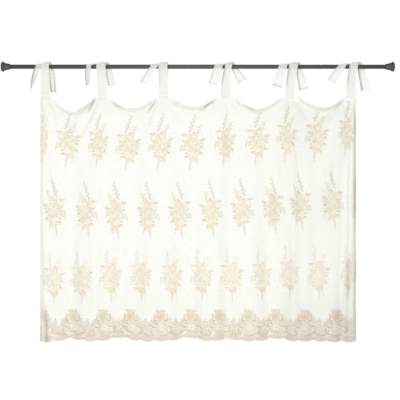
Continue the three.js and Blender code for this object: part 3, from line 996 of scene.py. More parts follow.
def flower(cloth, bloom, outer=PETAL, inner=DEEP_PETAL):
    """A turned rose: a bronze disc of painted shade in the petals' gaps, pale petals, a closer deeper
    ring and a small heart.
    """
    x, z, radius, petals, turn, warmth, lift = bloom
    middle = np.array([x, z], float)
    heart = middle + ROSE_ASIDE * radius * np.array([math.cos(turn), math.sin(turn)])
    # A bronze disc under the petals puts painted shade in their gaps
    knot(cloth, middle, SHADE_DISC_SIZE * radius, BRONZE, lift, SHADE_DISC_HEIGHT)
    ring_of_petals(cloth, middle, radius, petals, turn, warmth, lift + OUTER_LIFT, outer)
    ring_of_petals(cloth, heart, INNER_SIZE * radius, petals - 1, turn + 180 / petals, warmth,
                   lift + INNER_LIFT, inner)
    ring_of_petals(cloth, heart, HEART_SIZE * radius, HEART_PETALS, turn + HEART_TURN, warmth,
                   lift + HEART_LIFT, outer)
    knot(cloth, middle, EYE_SIZE * radius, BRONZE, lift + EYE_LIFT)


print("made of pads: sprig, arc, flower")

# %% [markdown]
# ## One spray
#
# Each spray is a loose bouquet, long and narrow: a few roses of different sizes close together, one
# more below them after a pale gap, dark and cream leaves around, a thin bent sprig of buds above and
# a short tail below. In the lowest row the sprig stands upright, the tail is straighter and the yarn
# is paled with painted light. It is an ordinary garden bouquet, drawn from rows of flowers and
# leaves, not a copy of one.

# %% Flowers and leaves of the spray
Bloom = namedtuple("Bloom", "x z radius petals turn warmth lift")
BLOOMS = [
    Bloom(-13, 40, 10, 5, 0, 0.5, 0.2),
    Bloom(2, 46, 8, 5, 10, 0.8, 0.2),
    Bloom(13, 47, 9, 5, 30, 0.1, 0.2),
    Bloom(22, 8, 12, 5, 60, 0.3, 0.2),
    Bloom(-14, -21, 12, 5, 20, 0.6, 0.2),
    Bloom(-12, -50, 9, 5, 50, 0.2, 0.2),
    Bloom(16, -36, 9, 5, 30, 0.9, 0.2),
    Bloom(-5, -6, 12, 5, 35, 0.7, 0.3),
    Bloom(-19, 9, 15, 5, 40, 0.8, 0.4),
    Bloom(14, -20, 16, 6, 10, 0.9, 0.4),
    Bloom(1, 20, 16, 5, 15, 0.7, 0.7),
]
LOW_ROSE = Bloom(3, -55, 13, 5, 20, 1.0, 0.5)
PALE_LEAVES = [
    Leaf(-8, 48, 10, -10, 38, 3, CREAM),
    Leaf(18, 36, 12, -40, 38, -3, CREAM),
    Leaf(-22, 26, -14, -42, 34, 3, CREAM),
    Leaf(2, -30, 2, -72, 34, 2, CREAM),
    Leaf(-20, 33, -49, 31, 15, -3, CREAM),
    Leaf(-22, -22, -47, -36, 16, -3, CREAM),
    Leaf(-12, -40, -37, -56, 14, 3, CREAM),
    Leaf(24, -14, 47, -15, 15, 2, CREAM),
    Leaf(16, -38, 38, -56, 15, 3, CREAM),
    Leaf(18, 30, 40, 53, 17, -3, CREAM),
    Leaf(-12, 48, -33, 68, 14, 2, CREAM),
    Leaf(10, 52, 16, 86, 15, -2, CREAM),
    Leaf(10, -58, 23, -84, 13, -2, CREAM),
]
DARK_LEAVES = [
    Leaf(-22, 47, -52, 48, 9, 3, 1.8),
    Leaf(-26, 12, -43, 24, 9, 2, 2.0),
    Leaf(-30, -4, -50, 3, 7, 2, 1.2),
    Leaf(-26, -8, -44, -16, 11, 2, 4.2),
    Leaf(-44, 6, -51, -30, 8, -3, 1.2),
    Leaf(-20, -27, -34, -32, 8, 2, 2.9),
    Leaf(-12, -44, -34, -46, 11, 2, 2.4),
    Leaf(27, 20, 52, 31, 12, -2, 2.2),
    Leaf(28, 4, 46, 11, 8, 2, 2.0),
    Leaf(26, -4, 43, -3, 9, -2, 2.6),
    Leaf(2, 55, 17, 57, 8, 2, 2.2),
    Leaf(24, -29, 40, -36, 9, 3, BRONZE),
    Leaf(12, -60, 19, -68, 8, 2, BRONZE),
]
TOP_SPRIG = Sprig([(-13, 58), (-8, 80), (2, 100), (10, 127)], 4.4, 8, 17, (1.8, 1.4))
SIDE_SPRIG = Sprig([(14, 50), (24, 64), (30, 86)], 4.0, 5, 14, (1.4, LEAF))
TAIL_SPRIG = Sprig([(-6, -62), (-13, -74), (-10, -88), (-14, -102)], 4.0, 6, 10, (1.6, 1.4))
UPRIGHT_SPRIG = Sprig([(-16, 46), (-25, 66), (-20, 88), (-19, 112)], 4.4, 8, 17, (LEAF, LEAF))
PALE_SPRIG = SIDE_SPRIG._replace(shades=(CREAM, CREAM))
LOW_TAIL = TAIL_SPRIG._replace(points=[(4, -60), (-1, -72), (3, -86), (0, -100)])
# Bronze knots of darker yarn, which also stand for painted shade between the roses
SEEDS_AND_SHADE = [(-6, 34), (10, 2), (-4, -6), (26, -22), (1, 54), (-27, -2)]
SEED_RADIUS, SEED_LIFT = 2.6, 0.6
PALE_LIFT = -0.2
print("roses:", len(BLOOMS) + 1, "leaves:", len(PALE_LEAVES) + len(DARK_LEAVES))


# %% Draw the spray
def draw_spray(sprigs, low_rose_shade):
    """The leaves lie lowest, then the sprigs and the roses, and the seeds on top."""
    cloth = Stitching()
    for row in PALE_LEAVES:
        leaf(cloth, row, PALE_LIFT)
    for row in DARK_LEAVES:
        leaf(cloth, row)
    for row in sprigs:
        sprig(cloth, row)
    for bloom in BLOOMS:
        flower(cloth, bloom)
    flower(cloth, LOW_ROSE, outer=low_rose_shade)
    for seed in SEEDS_AND_SHADE:
        knot(cloth, seed, SEED_RADIUS, BRONZE, SEED_LIFT)
    return cloth


SPRAY = draw_spray([TOP_SPRIG, SIDE_SPRIG, TAIL_SPRIG], PETAL)
LOW_SPRAY = draw_spray([UPRIGHT_SPRIG, PALE_SPRIG, LOW_TAIL], STEM + 0.8)
print("pads in a spray:", len(SPRAY.faces), "faces:", 2 * sum(len(part) for part in SPRAY.faces))

# %% [markdown]
# ## Rows of sprays
#
# The spray repeats in three rows, with its variant in the lowest. Copies of one mesh could not bend
# with the folds, so each row is a mesh of its own: at each place the drawing's points are moved there
# and take their depth from the cloth. The middle row is mirrored, and a spray is squeezed where a
# fold turns it away. A pad that would cross the panel's sides or its top is left out.

# %% Set pads on the cloth
EDGE_KEEP = 2.0
Place = namedtuple("Place", "x z mirror scale squeeze")
AS_DRAWN = Place(0, 0, 1, 1.0, 1.0)


def set_on_cloth(name, drawing, places, faded=0.0):
    """One mesh of a drawing set at each place, without pads that cross the panel's sides or top."""
    flat = np.concatenate(drawing.points)
    pads = np.concatenate(drawing.pad_of_point)
    faces = np.concatenate(drawing.faces)
    pad_of_face = np.concatenate(drawing.pad_of_face)
    values = {key: np.concatenate(parts) for key, parts in drawing.values.items()}
    height = values.pop("height")
    first_points = np.flatnonzero(np.diff(pads, prepend=-1))
    all_points, all_faces, all_values = [], [], {key: [] for key in [*values, "crowded_and_shaded"]}
    count = 0
    for place in places:
        x = place.x + flat[:, 0] * place.mirror * place.scale * place.squeeze
        z = place.z + flat[:, 1] * place.scale
        inside = (x > PANEL_LEFT + EDGE_KEEP) & (x < PANEL_RIGHT - EDGE_KEEP)
        inside = inside & (z < top_edge(x) - EDGE_KEEP)
        whole = np.minimum.reduceat(inside, first_points)
        keep = whole[pads]
        number = np.cumsum(keep) - 1 + count
        own = number[faces[whole[pad_of_face]]]
        y = -relief(x, z) - PAD_FOOT - height
        all_points.append(np.stack([x, y, z], axis=1)[keep])
        all_faces.append(own if place.mirror < 0 else own[:, ::-1])
        for key in values:
            all_values[key].append(values[key][keep])
        all_values["crowded_and_shaded"].append(crowding_and_shade(x, z)[keep])
        count += int(keep.sum())
    joined = {key: np.concatenate(parts) for key, parts in all_values.items()}
    joined["faded"] = np.full(count, faded)
    piece = add_mesh(name, np.concatenate(all_points), np.concatenate(all_faces), YARN, joined)
    print(name, "faces:", 2 * sum(len(part) for part in all_faces))
    return piece


print("pads keep", EDGE_KEEP, "mm from the panel's sides and top")

# %% Three rows of sprays
# A row's second number pales its yarn with painted light
Row = namedtuple("Row", "drawing faded mirror scale x z squeeze")
SPRAY_ROWS = [
    Row(SPRAY, 0.0, 1, 0.97,
        [-636, -629, -531, -406, -283, -151, -20, 114, 247, 366, 489, 612],
        [-322, -292, -312, -316, -326, -322, -324, -310, -306, -289, -287, -269],
        [0.2, 0.34, 1.02, 0.84, 1.04, 1.0, 1.04, 0.86, 1.02, 0.82, 1.0, 0.7]),
    Row(SPRAY, 0.0, -1, 1.0,
        [-590, -458, -337, -204, -75, 54, 181, 308, 419, 552, 638],
        [-592, -599, -605, -605, -603, -597, -589, -580, -570, -562, -552],
        [0.9, 0.9, 0.92, 0.9, 0.94, 0.92, 0.92, 0.92, 0.88, 0.86, 0.2]),
    Row(LOW_SPRAY, 0.32, 1, 0.98,
        [-590, -477, -356, -231, -106, 17, 140, 263, 376, 497, 616, 636],
        [-875, -871, -863, -862, -865, -862, -862, -859, -849, -854, -847, -820],
        [0.85, 0.94, 0.92, 0.92, 0.94, 0.94, 0.94, 0.88, 0.84, 0.92, 0.58, 0.2]),
]

for number, row in enumerate(SPRAY_ROWS, start=1):
    spots = zip(row.x, row.z, row.squeeze)
    places = [Place(x, z, row.mirror, row.scale, squeeze) for x, z, squeeze in spots]
    set_on_cloth(f"embroidery_row_{number}", row.drawing, places, row.faded)

# %% [markdown]
# ## The border
#
# Along the scalloped hem the embroidery closes into a band of lace. Above it stand mounds of
# petals, one to two lobes, each over a rosette in a fan of petals. Scrolls of cord lie left of it
# and a brown rose right of it, and between two mounds upright leaves stand over rows of small
# eyelets. The units of the real band are nearly alike, so one is drawn as pads and set eleven
# times. The stitched ground of the band has no gaps, so it is one low strip under them.

# %% What the border is made of
UNIT_X = [-632, -512, -385, -274, -151, -28, 87, 210, 321, 440, 567]
UNIT_SQUEEZE = [0.8] + [1.0] * (len(UNIT_X) - 1)
UNIT_LIFT = 0.4

Fan = namedtuple("Fan", "radius petals from_degrees to_degrees length width lift shade other_shade")
FAN_Z = 50.0
FANS = [
    Fan(17, 10, -20, 200, 13, 9, 0.3, LACE, 4.2),
    Fan(30, 8, 16, 164, 14, 11, 0.1, 4.2, CREAM),
    Fan(40, 5, 54, 126, 12, 10, 0.0, 3.5, CREAM),
]
Scroll = namedtuple("Scroll", "x z radius degrees")
SCROLLS = [
    Scroll(-33, 57, 14, (-10, 215)), Scroll(-31, 33, 12, (60, 250)), Scroll(33, 34, 13, (-70, 120)),
    Scroll(-19, 80, 9, (150, 330)), Scroll(19, 80, 9, (210, 390)), Scroll(-33, 57, 6, (30, 270)),
]
SCROLL_CORD = 3.0
SCROLL_SHADE = CORD - 0.2
SCROLL_LIFT, SCROLL_INNER_LIFT = 0.8, 0.6

ROSETTE = Bloom(1, 43, 17, 7, 0, 0.2, 0.4)
ROSETTE_SHADE = GROUND + 0.5
MOUND_BLOOMS = [
    Bloom(-5, 106, 9, 5, 18, 0.9, 0.4),
    Bloom(10, 98, 9, 5, 40, 0.5, 0.3),
    Bloom(-18, 90, 10, 5, 0, 0.7, 0.3),
]
PALE_GOLD = BRONZE + 0.6
GOLD_ROSE = Bloom(-3, 88, 17, 6, 10, 1.0, 0.7)
GOLD = BRONZE + 0.5
BROWN_ROSE = Bloom(33, 60, 15, 5, 20, 0.4, 0.5)
BROWN, BROWN_HEART = LACE + 0.35, GROUND + 0.4
BEADS = [(-20, 20), (-12, 17), (-4, 15), (4, 15), (12, 17), (20, 20)]
BEAD_RADIUS, BEAD_LIFT = 3.0, 0.3

BORDER_LEAVES = [
    Leaf(60, 44, 61, 84, 11, 2, 1.8),
    Leaf(56, 48, 50, 74, 9, -2, 1.5),
    Leaf(64, 48, 69, 72, 9, 2, 1.5),
    Leaf(-10, 74, -22, 71, 9, 0, CREAM),
    Leaf(9, 72, 19, 76, 9, 0, CREAM),
    Leaf(-36, 45, -50, 40, 10, 2, CREAM),
    Leaf(30, 44, 33, 22, 9, 2, CREAM),
    Leaf(-22, 30, -30, 14, 9, 2, CREAM),
    Leaf(0, 104, 0, 119, 8, 0, 1.8),
    Leaf(-7, 102, -11, 116, 8, 0, 1.6),
]
MOUND_SHADES = (4.5, CREAM, 4.3, CREAM, 2.2, CREAM, 2.4)
MOUND_FOOT, MOUND_TOP = np.array([44.0, 55.0]), np.array([8.0, 106.0])
MOUND_POINT = np.array([11.0, 10.0])
MOUND_LEAF, MOUND_BEND = 9, 2
MOUND_UNEVEN, MOUND_STEP = 0.25, 2.6

EYELET_COLUMNS = (42, 50, 58, 66, 74)
EYELET_ROWS = (22, 30, 38, 46)
EYELET_RADIUS, EYELET_LIFT, EYELET_HEIGHT = 3.0, 0.2, 0.4
BAR_WIDTH, BAR_HEIGHT = 2.0, 0.5
UPRIGHT_POINTS, LEVEL_POINTS = 5, 7
print("units of the border:", len(UNIT_X), "scrolls in one:", len(SCROLLS))


# %% Draw one unit of the border
def draw_eyelets(cloth):
    """Rows of pale eyelets with darker bars between them."""
    half = (EYELET_COLUMNS[1] - EYELET_COLUMNS[0]) / 2
    low, high = EYELET_ROWS[0] - half, EYELET_ROWS[-1] + half
    left, right = EYELET_COLUMNS[0] - half, EYELET_COLUMNS[-1] + half
    for x in EYELET_COLUMNS:
        upright = curve([(x + half, low), (x + half, high)], UPRIGHT_POINTS)
        cloth.pad(upright, BAR_WIDTH / 2, BAR_HEIGHT, GROUND)
        for z in EYELET_ROWS:
            knot(cloth, (x, z), EYELET_RADIUS, CREAM, EYELET_LIFT, EYELET_HEIGHT)
    for z in EYELET_ROWS:
        level = curve([(left, z + half), (right, z + half)], LEVEL_POINTS)
        cloth.pad(level, BAR_WIDTH / 2, BAR_HEIGHT, GROUND)


def draw_mound_edge(cloth):
    """Leaves up both sides of a mound, from its foot to its top, every other one cream."""
    for side in (np.array([1, 1]), np.array([-1, 1])):
        for k, shade in enumerate(MOUND_SHADES):
            base = lerp(MOUND_FOOT, MOUND_TOP, k / (len(MOUND_SHADES) - 1))
            tip = base + MOUND_POINT * (1 + MOUND_UNEVEN * math.sin(MOUND_STEP * k + side[0]))
            row = Leaf(*(base * side), *(tip * side), MOUND_LEAF, MOUND_BEND, shade)
            leaf(cloth, row, UNIT_LIFT)


def draw_border_unit():
    """One mound with what lies beside it, from the leaves below to the rosette and beads on top."""
    cloth = Stitching()
    for row in BORDER_LEAVES:
        leaf(cloth, row, UNIT_LIFT)
    for fan in FANS:
        for k, degrees in enumerate(np.linspace(fan.from_degrees, fan.to_degrees, fan.petals)):
            shade = fan.other_shade if k % 2 else fan.shade
            petal(cloth, (0, FAN_Z), math.radians(degrees), fan.radius, fan.radius + fan.length,
                  fan.width, lift=fan.lift, shade=shade)
    draw_eyelets(cloth)
    draw_mound_edge(cloth)
    for bloom in MOUND_BLOOMS:
        flower(cloth, bloom, PALE_GOLD)
    flower(cloth, GOLD_ROSE, GOLD, BRONZE)
    flower(cloth, BROWN_ROSE, BROWN, BROWN_HEART)
    for x, z, radius, degrees in SCROLLS:
        arc(cloth, (x, z), radius, degrees, SCROLL_CORD, SCROLL_SHADE, SCROLL_LIFT)
        arc(cloth, (x, z), radius - SCROLL_CORD, degrees, SCROLL_CORD, CREAM, SCROLL_INNER_LIFT)
    flower(cloth, ROSETTE, ROSETTE_SHADE, LACE)
    for bead in BEADS:
        knot(cloth, bead, BEAD_RADIUS, CREAM, BEAD_LIFT)
    return cloth


unit_places = [Place(x, BORDER_Z, 1, 1.0, squeeze) for x, squeeze in zip(UNIT_X, UNIT_SQUEEZE)]
border_units = set_on_cloth("embroidery_border", draw_border_unit(), unit_places)

# %% The shells and the cords of the hem
SHELL_PETALS = 5
SHELL_ROOT = 26.0
SHELL_INNER, SHELL_OUTER = 5.0, 23.0
SHELL_WIDTH = 11.5
SHELL_TURN = 32.0
SHELL_SHADE = LACE + 0.5
SHELL_KNOT = 4.0
Cord = namedtuple("Cord", "above width wave shade")
CORDS = [Cord(2.5, 5.0, 0, 5.4), Cord(8, 2.4, 0, 5.4), Cord(27, 3.0, 3, 5.8), Cord(35, 2.6, 4, 4.0)]
HEM_CORD_HEIGHT = 1.0
CORD_SHARES = np.linspace(0.02, 0.98, 17)


def draw_hem_shells():
    """A fan of petals in each lobe, and cords of close stitches that follow the lobes' edge."""
    cloth = Stitching()
    lobe_width = (PANEL_RIGHT - PANEL_LEFT) / LOBES
    for lobe in range(LOBES):
        centre = PANEL_LEFT + (lobe + 0.5) * lobe_width
        root = (centre, float(hem_edge(centre)) + SHELL_ROOT)
        for k in range(SHELL_PETALS):
            angle = math.radians(-90 + (k - (SHELL_PETALS - 1) / 2) * SHELL_TURN)
            petal(cloth, root, angle, SHELL_INNER, SHELL_OUTER, SHELL_WIDTH, shade=SHELL_SHADE)
        knot(cloth, root, SHELL_KNOT, GROUND)
        x = PANEL_LEFT + (lobe + CORD_SHARES) * lobe_width
        for cord in CORDS:
            z = hem_edge(x) + cord.above + cord.wave * np.sin(2 * np.pi * CORD_SHARES)
            cloth.pad(np.stack([x, z], axis=1), cord.width / 2, HEM_CORD_HEIGHT, cord.shade)
    return cloth


hem_shells = set_on_cloth("embroidery_hem", draw_hem_shells(), [AS_DRAWN])

# %% The stitched ground of the band
GROUND_BAND = 52.0
GROUND_MOUND = 38.0
MOUND_SPREAD = 21.0
GROUND_ROWS = 26
GROUND_IN = 1.0
GROUND_WARMTH = 0.6
GROUND_SPOTS = 0.8
SPOT_WIDTH, SPOT_HEIGHT = 21.0, 18.0


def ground_mesh():
    """A low strip that rises under each mound, mottled in two shades."""
    x = np.linspace(PANEL_LEFT + EDGE_KEEP, PANEL_RIGHT - EDGE_KEEP, LOBES * COLUMNS_PER_LOBE + 1)
    low = hem_edge(x) + GROUND_IN
    high = np.full(x.size, BORDER_Z + GROUND_BAND)
    for unit, squeeze in zip(UNIT_X, UNIT_SQUEEZE):
        high = high + GROUND_MOUND * bell(x - unit, MOUND_SPREAD * squeeze)
    z = lerp(high, low, np.linspace(0, 1, GROUND_ROWS + 1)[:, None])
    x = np.broadcast_to(x, z.shape)
    y = -relief(x, z) - PAD_FOOT / 2
    spots = np.sin(2 * np.pi * x / SPOT_WIDTH) * np.sin(2 * np.pi * z / SPOT_HEIGHT)
    values = {
        "shade_of_yarn": GROUND + GROUND_SPOTS * (0.5 + 0.5 * spots),
        "warmth": np.full(z.shape, GROUND_WARMTH),
        "near_edge": np.zeros(z.shape),
        "faded": np.zeros(z.shape),
        "crowded_and_shaded": crowding_and_shade(x, z),
        "along": z,
    }
    points = np.stack([x, y, z], axis=-1).reshape(-1, 3)
    return points, grid_faces(*z.shape), {key: numbers.ravel() for key, numbers in values.items()}


ground_points, ground_faces, ground_values = ground_mesh()
ground = add_mesh("embroidery_ground", ground_points, ground_faces, YARN, ground_values)
print("ground faces:", len(ground_faces) * 2)

# %% [markdown]
# ## Hem stitches
#
# The turned hems are held by a row of straight stitches along their inner edge. They are real
# small pads of yarn, so that they also show when the light grazes the cloth.

# %% Hem stitches
STITCH_PITCH = 4.0
STITCH_LENGTH = 2.7
STITCH_WIDTH = 0.8
STITCH_HEIGHT = 0.3
STITCH_POINTS = 3
SEAM_POINTS = 600
SEAM_IN = 2.0
SEAM_END = 4.0


def sew(cloth, line):
    """Straight stitches along a line of points."""
    line = np.asarray(line, dtype=float)
    length = run_length(line)
    for start in np.arange(0, length[-1] - STITCH_PITCH, STITCH_PITCH):
        at = start + np.linspace(0, STITCH_LENGTH, STITCH_POINTS)
        spine = np.stack([np.interp(at, length, line[:, 0]), np.interp(at, length, line[:, 1])], axis=1)
        cloth.pad(spine, STITCH_WIDTH / 2, STITCH_HEIGHT, CREAM, across=2)


def draw_hem_stitches():
    """One row below the top edge and one beside each side edge, down to the band."""
    cloth = Stitching()
    x = np.linspace(PANEL_LEFT + SEAM_END, PANEL_RIGHT - SEAM_END, SEAM_POINTS)
    sew(cloth, np.stack([x, top_edge(x) - TOP_HEM + SEAM_IN], axis=1))
    for x in (PANEL_LEFT + SIDE_HEM - SEAM_IN, PANEL_RIGHT - SIDE_HEM + SEAM_IN):
        sew(cloth, [(x, float(top_edge(x)) - TOP_HEM), (x, BORDER_Z + GROUND_BAND)])
    return cloth


hem_stitches = set_on_cloth("hem_stitches", draw_hem_stitches(), [AS_DRAWN])

# %% [markdown]
# ## The ties
#
# Each tie is two strips of plain voile sewn behind the top hem. One rises before the rod, goes
# over it and hangs its end behind; the other rises behind and hangs its end before. Where they
# are drawn over the rod they gather into narrow pleats, with painted shade in them. Where an edge is
# folded double or an end is hemmed the cloth is denser, and shade is painted there too. A simulation
# could drape them, but each strip has to lie where the model's lies. So it is swept along the model's
# own middle line, and the pleats and the fine mesh are added here.

# %% Sizes of a tie
TIE_WIDTH = 38.0
TIE_THICKNESS = 1.2
FIT_GAP = 0.3
HEM_THICKNESS = 2.0
SEWN_DEPTH = 13.0
HEM_CLEARANCE = 3.0
Loop = namedtuple("Loop", "reach rise")
INNER_LOOP = Loop(10.0, 12.8)
OUTER_LOOP = Loop(12.0, 17.2)
TAIL_STANDOFF = 3.0
TAIL_CURL = 2.5
BEND_ACROSS, BEND_OUT, BEND_DOWN = 0.45, 0.6, 0.4
STRAP_STEPS = 26
LOOP_STEPS = 22
TAIL_STEPS = 26
TIE_ACROSS = 20
FOOT_GATHER, END_GATHER = 0.12, 0.2
LEVEL = np.array([1.0, 0.0, 0.0])

Station = namedtuple("Station", "middle across half_width curl gather")
print("stations along a strip:", STRAP_STEPS + LOOP_STEPS + TAIL_STEPS + 2)


# %% The line of a tie
def strap_stations(tie, side, loop):
    """From the foot, stitched behind the hem, up to the rod. side is -1 before the rod and 1 behind it.
    """
    foot_y = HEM_THICKNESS / 2 + FIT_GAP + TIE_THICKNESS / 2
    if side > 0:
        foot_y += TIE_THICKNESS + FIT_GAP
    foot = np.array([tie.foot_x, foot_y, tie.peak_z - SEWN_DEPTH])
    stations = [Station(foot, LEVEL, TIE_WIDTH / 2, 0, 0)]
    for share in np.linspace(0, 1, STRAP_STEPS, endpoint=False):
        middle = np.array([
            lerp(tie.foot_x, tie.head_x, share ** 2),
            lerp(foot_y, side * loop.reach, share),
            lerp(tie.peak_z + HEM_CLEARANCE, 0, share),
        ])
        half_width = lerp(TIE_WIDTH, tie.head_width, share ** 2) / 2
        stations.append(Station(middle, LEVEL, half_width, 0, lerp(FOOT_GATHER, 1, share ** 3)))
    return stations


def loop_stations(tie, side, loop, end):
    """Over the rod, from one side of it to the other."""
    stations = []
    for share in np.linspace(0, 1, LOOP_STEPS + 1):
        drift = float(ease(0, 1, share))
        middle = np.array([
            lerp(tie.head_x, end.rod_x, drift),
            side * loop.reach * math.cos(math.pi * share),
            loop.rise * math.sin(math.pi * share),
        ])
        half_width = lerp(tie.head_width, end.rod_width, drift) / 2
        stations.append(Station(middle, LEVEL, half_width, 0, 1.0))
    return stations


def turned_about(vector, axis, angle):
    """The vector turned round an axis by an angle."""
    along = axis * np.dot(axis, vector) * (1 - math.cos(angle))
    return vector * math.cos(angle) + np.cross(axis, vector) * math.sin(angle) + along


def tail_stations(side, loop, end):
    """From the rod down to the free end, which turns and twists on its way."""
    twist = math.radians(end.twist)
    standoff = TAIL_STANDOFF + end.end_width / 2 * math.sin(twist)
    start = np.array([end.rod_x, -side * loop.reach, 0.0])
    stop = np.array([end.end_x, -side * (loop.reach + standoff), end.end_z])
    bend = np.array([
        lerp(end.rod_x, end.end_x, BEND_ACROSS),
        -side * (loop.reach + standoff * BEND_OUT),
        end.end_z * BEND_DOWN,
    ])
    stations = []
    for share in np.linspace(0, 1, TAIL_STEPS + 1)[1:]:
        middle = (1 - share) ** 2 * start + 2 * share * (1 - share) * bend + share ** 2 * stop
        run = 2 * (1 - share) * (bend - start) + 2 * share * (stop - bend)
        run = run / np.linalg.norm(run)
        square = np.array([-run[2], 0.0, run[0]])
        across = lerp(LEVEL, square / np.linalg.norm(square), share)
        across = turned_about(across / np.linalg.norm(across), run, twist * share)
        half_width = lerp(end.rod_width, end.end_width, math.sqrt(share)) / 2
        gather = lerp(1, END_GATHER, share)
        stations.append(Station(middle, across, half_width, TAIL_CURL * share, gather))
    return stations


first_strap = strap_stations(TIES[0], -1, OUTER_LOOP)
print("the first strap starts at", first_strap[0].middle.round(1).tolist())

# %% The pleats of a tie
PLEAT_DEPTH = 1.4
PLEATS = [4.5, 3.5, 5.0, 4.0, 4.5, 5.5]
PLEAT_SHADE = 0.22
TIE_PHASE, BACK_PHASE = 0.7, 0.9
PLEAT_BEND, PLEAT_BEND_RATE = 0.8, 2.2

# How much shade is painted along an edge where the cloth is folded double, and at the hem of its ends,
# where the cloth is also denser
Edge = namedtuple("Edge", "strap_left left_end_left right_end_left right_end_right end_hem")
EDGES = [
    Edge(0.0, 0.9, 0.7, 0.55, 0.2),
    Edge(0.1, 0.85, 0.45, 0.2, 0.1),
    Edge(0.3, 0.4, 0.3, 0.0, 0.1),
    Edge(0.7, 0.35, 0.35, 0.2, 0.1),
    Edge(0.65, 0.1, 0.65, 0.1, 0.35),
    Edge(0.5, 0.35, 0.9, 0.0, 0.1),
]
EDGE_FOLD = 0.85
STRAP_FOLD = (0.2, 0.6)
END_HEM = 8.0


def tie_shade(number, side, share, stations, length, pleats):
    """Painted shade, 0 on plain cloth and up to 1 deep in the pleats at the rod and in the folded edges.
    """
    edge = EDGES[number]
    left = 1 - ease(-1, -1 + EDGE_FOLD, share)
    right = ease(1 - EDGE_FOLD, 1, share)
    rows = []
    for place, station in enumerate(stations):
        row = PLEAT_SHADE * station.gather ** 3 * (0.5 - 0.5 * pleats)
        if place <= STRAP_STEPS:
            front = 1.0 if side < 0 else 0.0
            row = row + front * edge.strap_left * left * ease(*STRAP_FOLD, place / STRAP_STEPS)
        elif place > STRAP_STEPS + LOOP_STEPS and side < 0:
            row = row + edge.right_end_left * left + edge.right_end_right * right
        elif place > STRAP_STEPS + LOOP_STEPS:
            row = row + edge.left_end_left * left
        if length[-1] - length[place] < END_HEM:
            row = row + edge.end_hem
        rows.append(row)
    return np.clip(np.array(rows), 0, 1)


print("pleats across each tie:", PLEATS)


# %% The mesh of a tie
def tie_mesh(number, side):
    """One strip, before the rod or behind it. No two strips are pleated alike."""
    tie = TIES[number]
    loop = OUTER_LOOP if side < 0 else INNER_LOOP
    end = tie.right_end if side < 0 else tie.left_end
    stations = strap_stations(tie, side, loop) + loop_stations(tie, side, loop, end)
    stations += tail_stations(side, loop, end)
    middles = np.array([station.middle for station in stations])
    runs = np.gradient(middles, axis=0)
    share = np.linspace(-1, 1, TIE_ACROSS + 1)
    phase = TIE_PHASE * number + (BACK_PHASE if side > 0 else 0.0)
    phase = phase + PLEAT_BEND * np.sin(PLEAT_BEND_RATE * share + number)
    pleats = np.sin(np.pi * PLEATS[number] * share + phase)
    rows = []
    for station, run in zip(stations, runs):
        normal = np.cross(station.across, run)
        normal = normal / np.linalg.norm(normal)
        lift = station.curl * share ** 2 + PLEAT_DEPTH * station.gather * (0.5 + 0.5 * pleats)
        flat = station.middle + np.outer(share * station.half_width, station.across)
        rows.append(flat + np.outer(lift, normal))
    points = np.array(rows)
    shape = points.shape[:2]
    length = run_length(middles)
    # Painted light on the foot behind the hem
    painted_foot_light = 1 - ease(SEWN_DEPTH, SEWN_DEPTH + 2 * HEM_CLEARANCE, length)
    values = {
        "along": np.broadcast_to(length[:, None], shape).ravel(),
        "across": np.broadcast_to(share * TIE_WIDTH / 2, shape).ravel(),
        "shaded": tie_shade(number, side, share, stations, length, pleats).ravel(),
        "painted_foot_light": np.broadcast_to(painted_foot_light[:, None], shape).ravel(),
    }
    return points.reshape(-1, 3), grid_faces(*shape), values


for number in range(len(TIES)):
    for name, side in (("front", -1), ("back", 1)):
        tie_points, tie_faces, tie_values = tie_mesh(number, side)
        strip = add_mesh(f"voile_tie_{number + 1}_{name}", tie_points, tie_faces, VOILE, tie_values)
        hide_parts(f"tie_{number + 1}_{name}")

# %% [markdown]
# ## Rod and caps
#
# The rod is a round tube with a dark grey satin coat, and its ends stand in two flared rubber caps.
# All three are turned shapes, so each is one outline swept round the rod's axis, finer than the
# model's facets and shaded smooth. Fine streaks along the rod and a grain on the rubber break the
# gloss, as on real ones.

# %% Finishes of the rod and the caps
ROD_COLOUR = from_srgb(80, 80, 75)
ROD_STREAK = from_srgb(90, 90, 85)
STREAK_SCALE = (4.0, 900.0, 900.0)
STREAK_RANGE = (0.3, 0.7)
ROD_ROUGHNESS, STREAK_ROUGHNESS = 0.4, 0.12
STREAK_BUMP = Bump(0.03, 0.4)
CAP_COLOUR = from_srgb(66, 66, 64)
CAP_GRAIN = from_srgb(74, 74, 72)
GRAIN_SCALE = 1400.0
GRAIN_RANGE = (0.3, 0.75)
CAP_ROUGHNESS, GRAIN_ROUGHNESS = 0.42, 0.1
GRAIN_BUMP = Bump(0.05, 0.35)


def rod_finish():
    material, paint = new_material("satin_rod")
    drawn = paint.node("ShaderNodeMapping", sockets={"Vector": paint.place(), "Scale": STREAK_SCALE})
    streaks = paint.node("ShaderNodeTexNoise", sockets={"Vector": drawn, "Scale": 1.0, "Detail": 2.0})
    set_surface(
        material,
        Base_Color=streaks.between(*STREAK_RANGE).blend(ROD_COLOUR, ROD_STREAK),
        Metallic=0.05,
        Specular_IOR_Level=0.3,
        Roughness=streaks * STREAK_ROUGHNESS + ROD_ROUGHNESS,
        Normal=streaks.bump(*STREAK_BUMP),
    )
    return material


def cap_finish():
    material, paint = new_material("cap_rubber")
    sockets = {"Vector": paint.place(), "Scale": GRAIN_SCALE, "Detail": 2.0}
    grain = paint.node("ShaderNodeTexNoise", sockets=sockets)
    set_surface(
        material,
        Base_Color=grain.between(*GRAIN_RANGE).blend(CAP_COLOUR, CAP_GRAIN),
        Roughness=grain * GRAIN_ROUGHNESS + CAP_ROUGHNESS,
        Normal=grain.bump(*GRAIN_BUMP),
    )
    return material


SATIN = rod_finish()
RUBBER = cap_finish()
print("rod finishes:", SATIN.name, RUBBER.name)

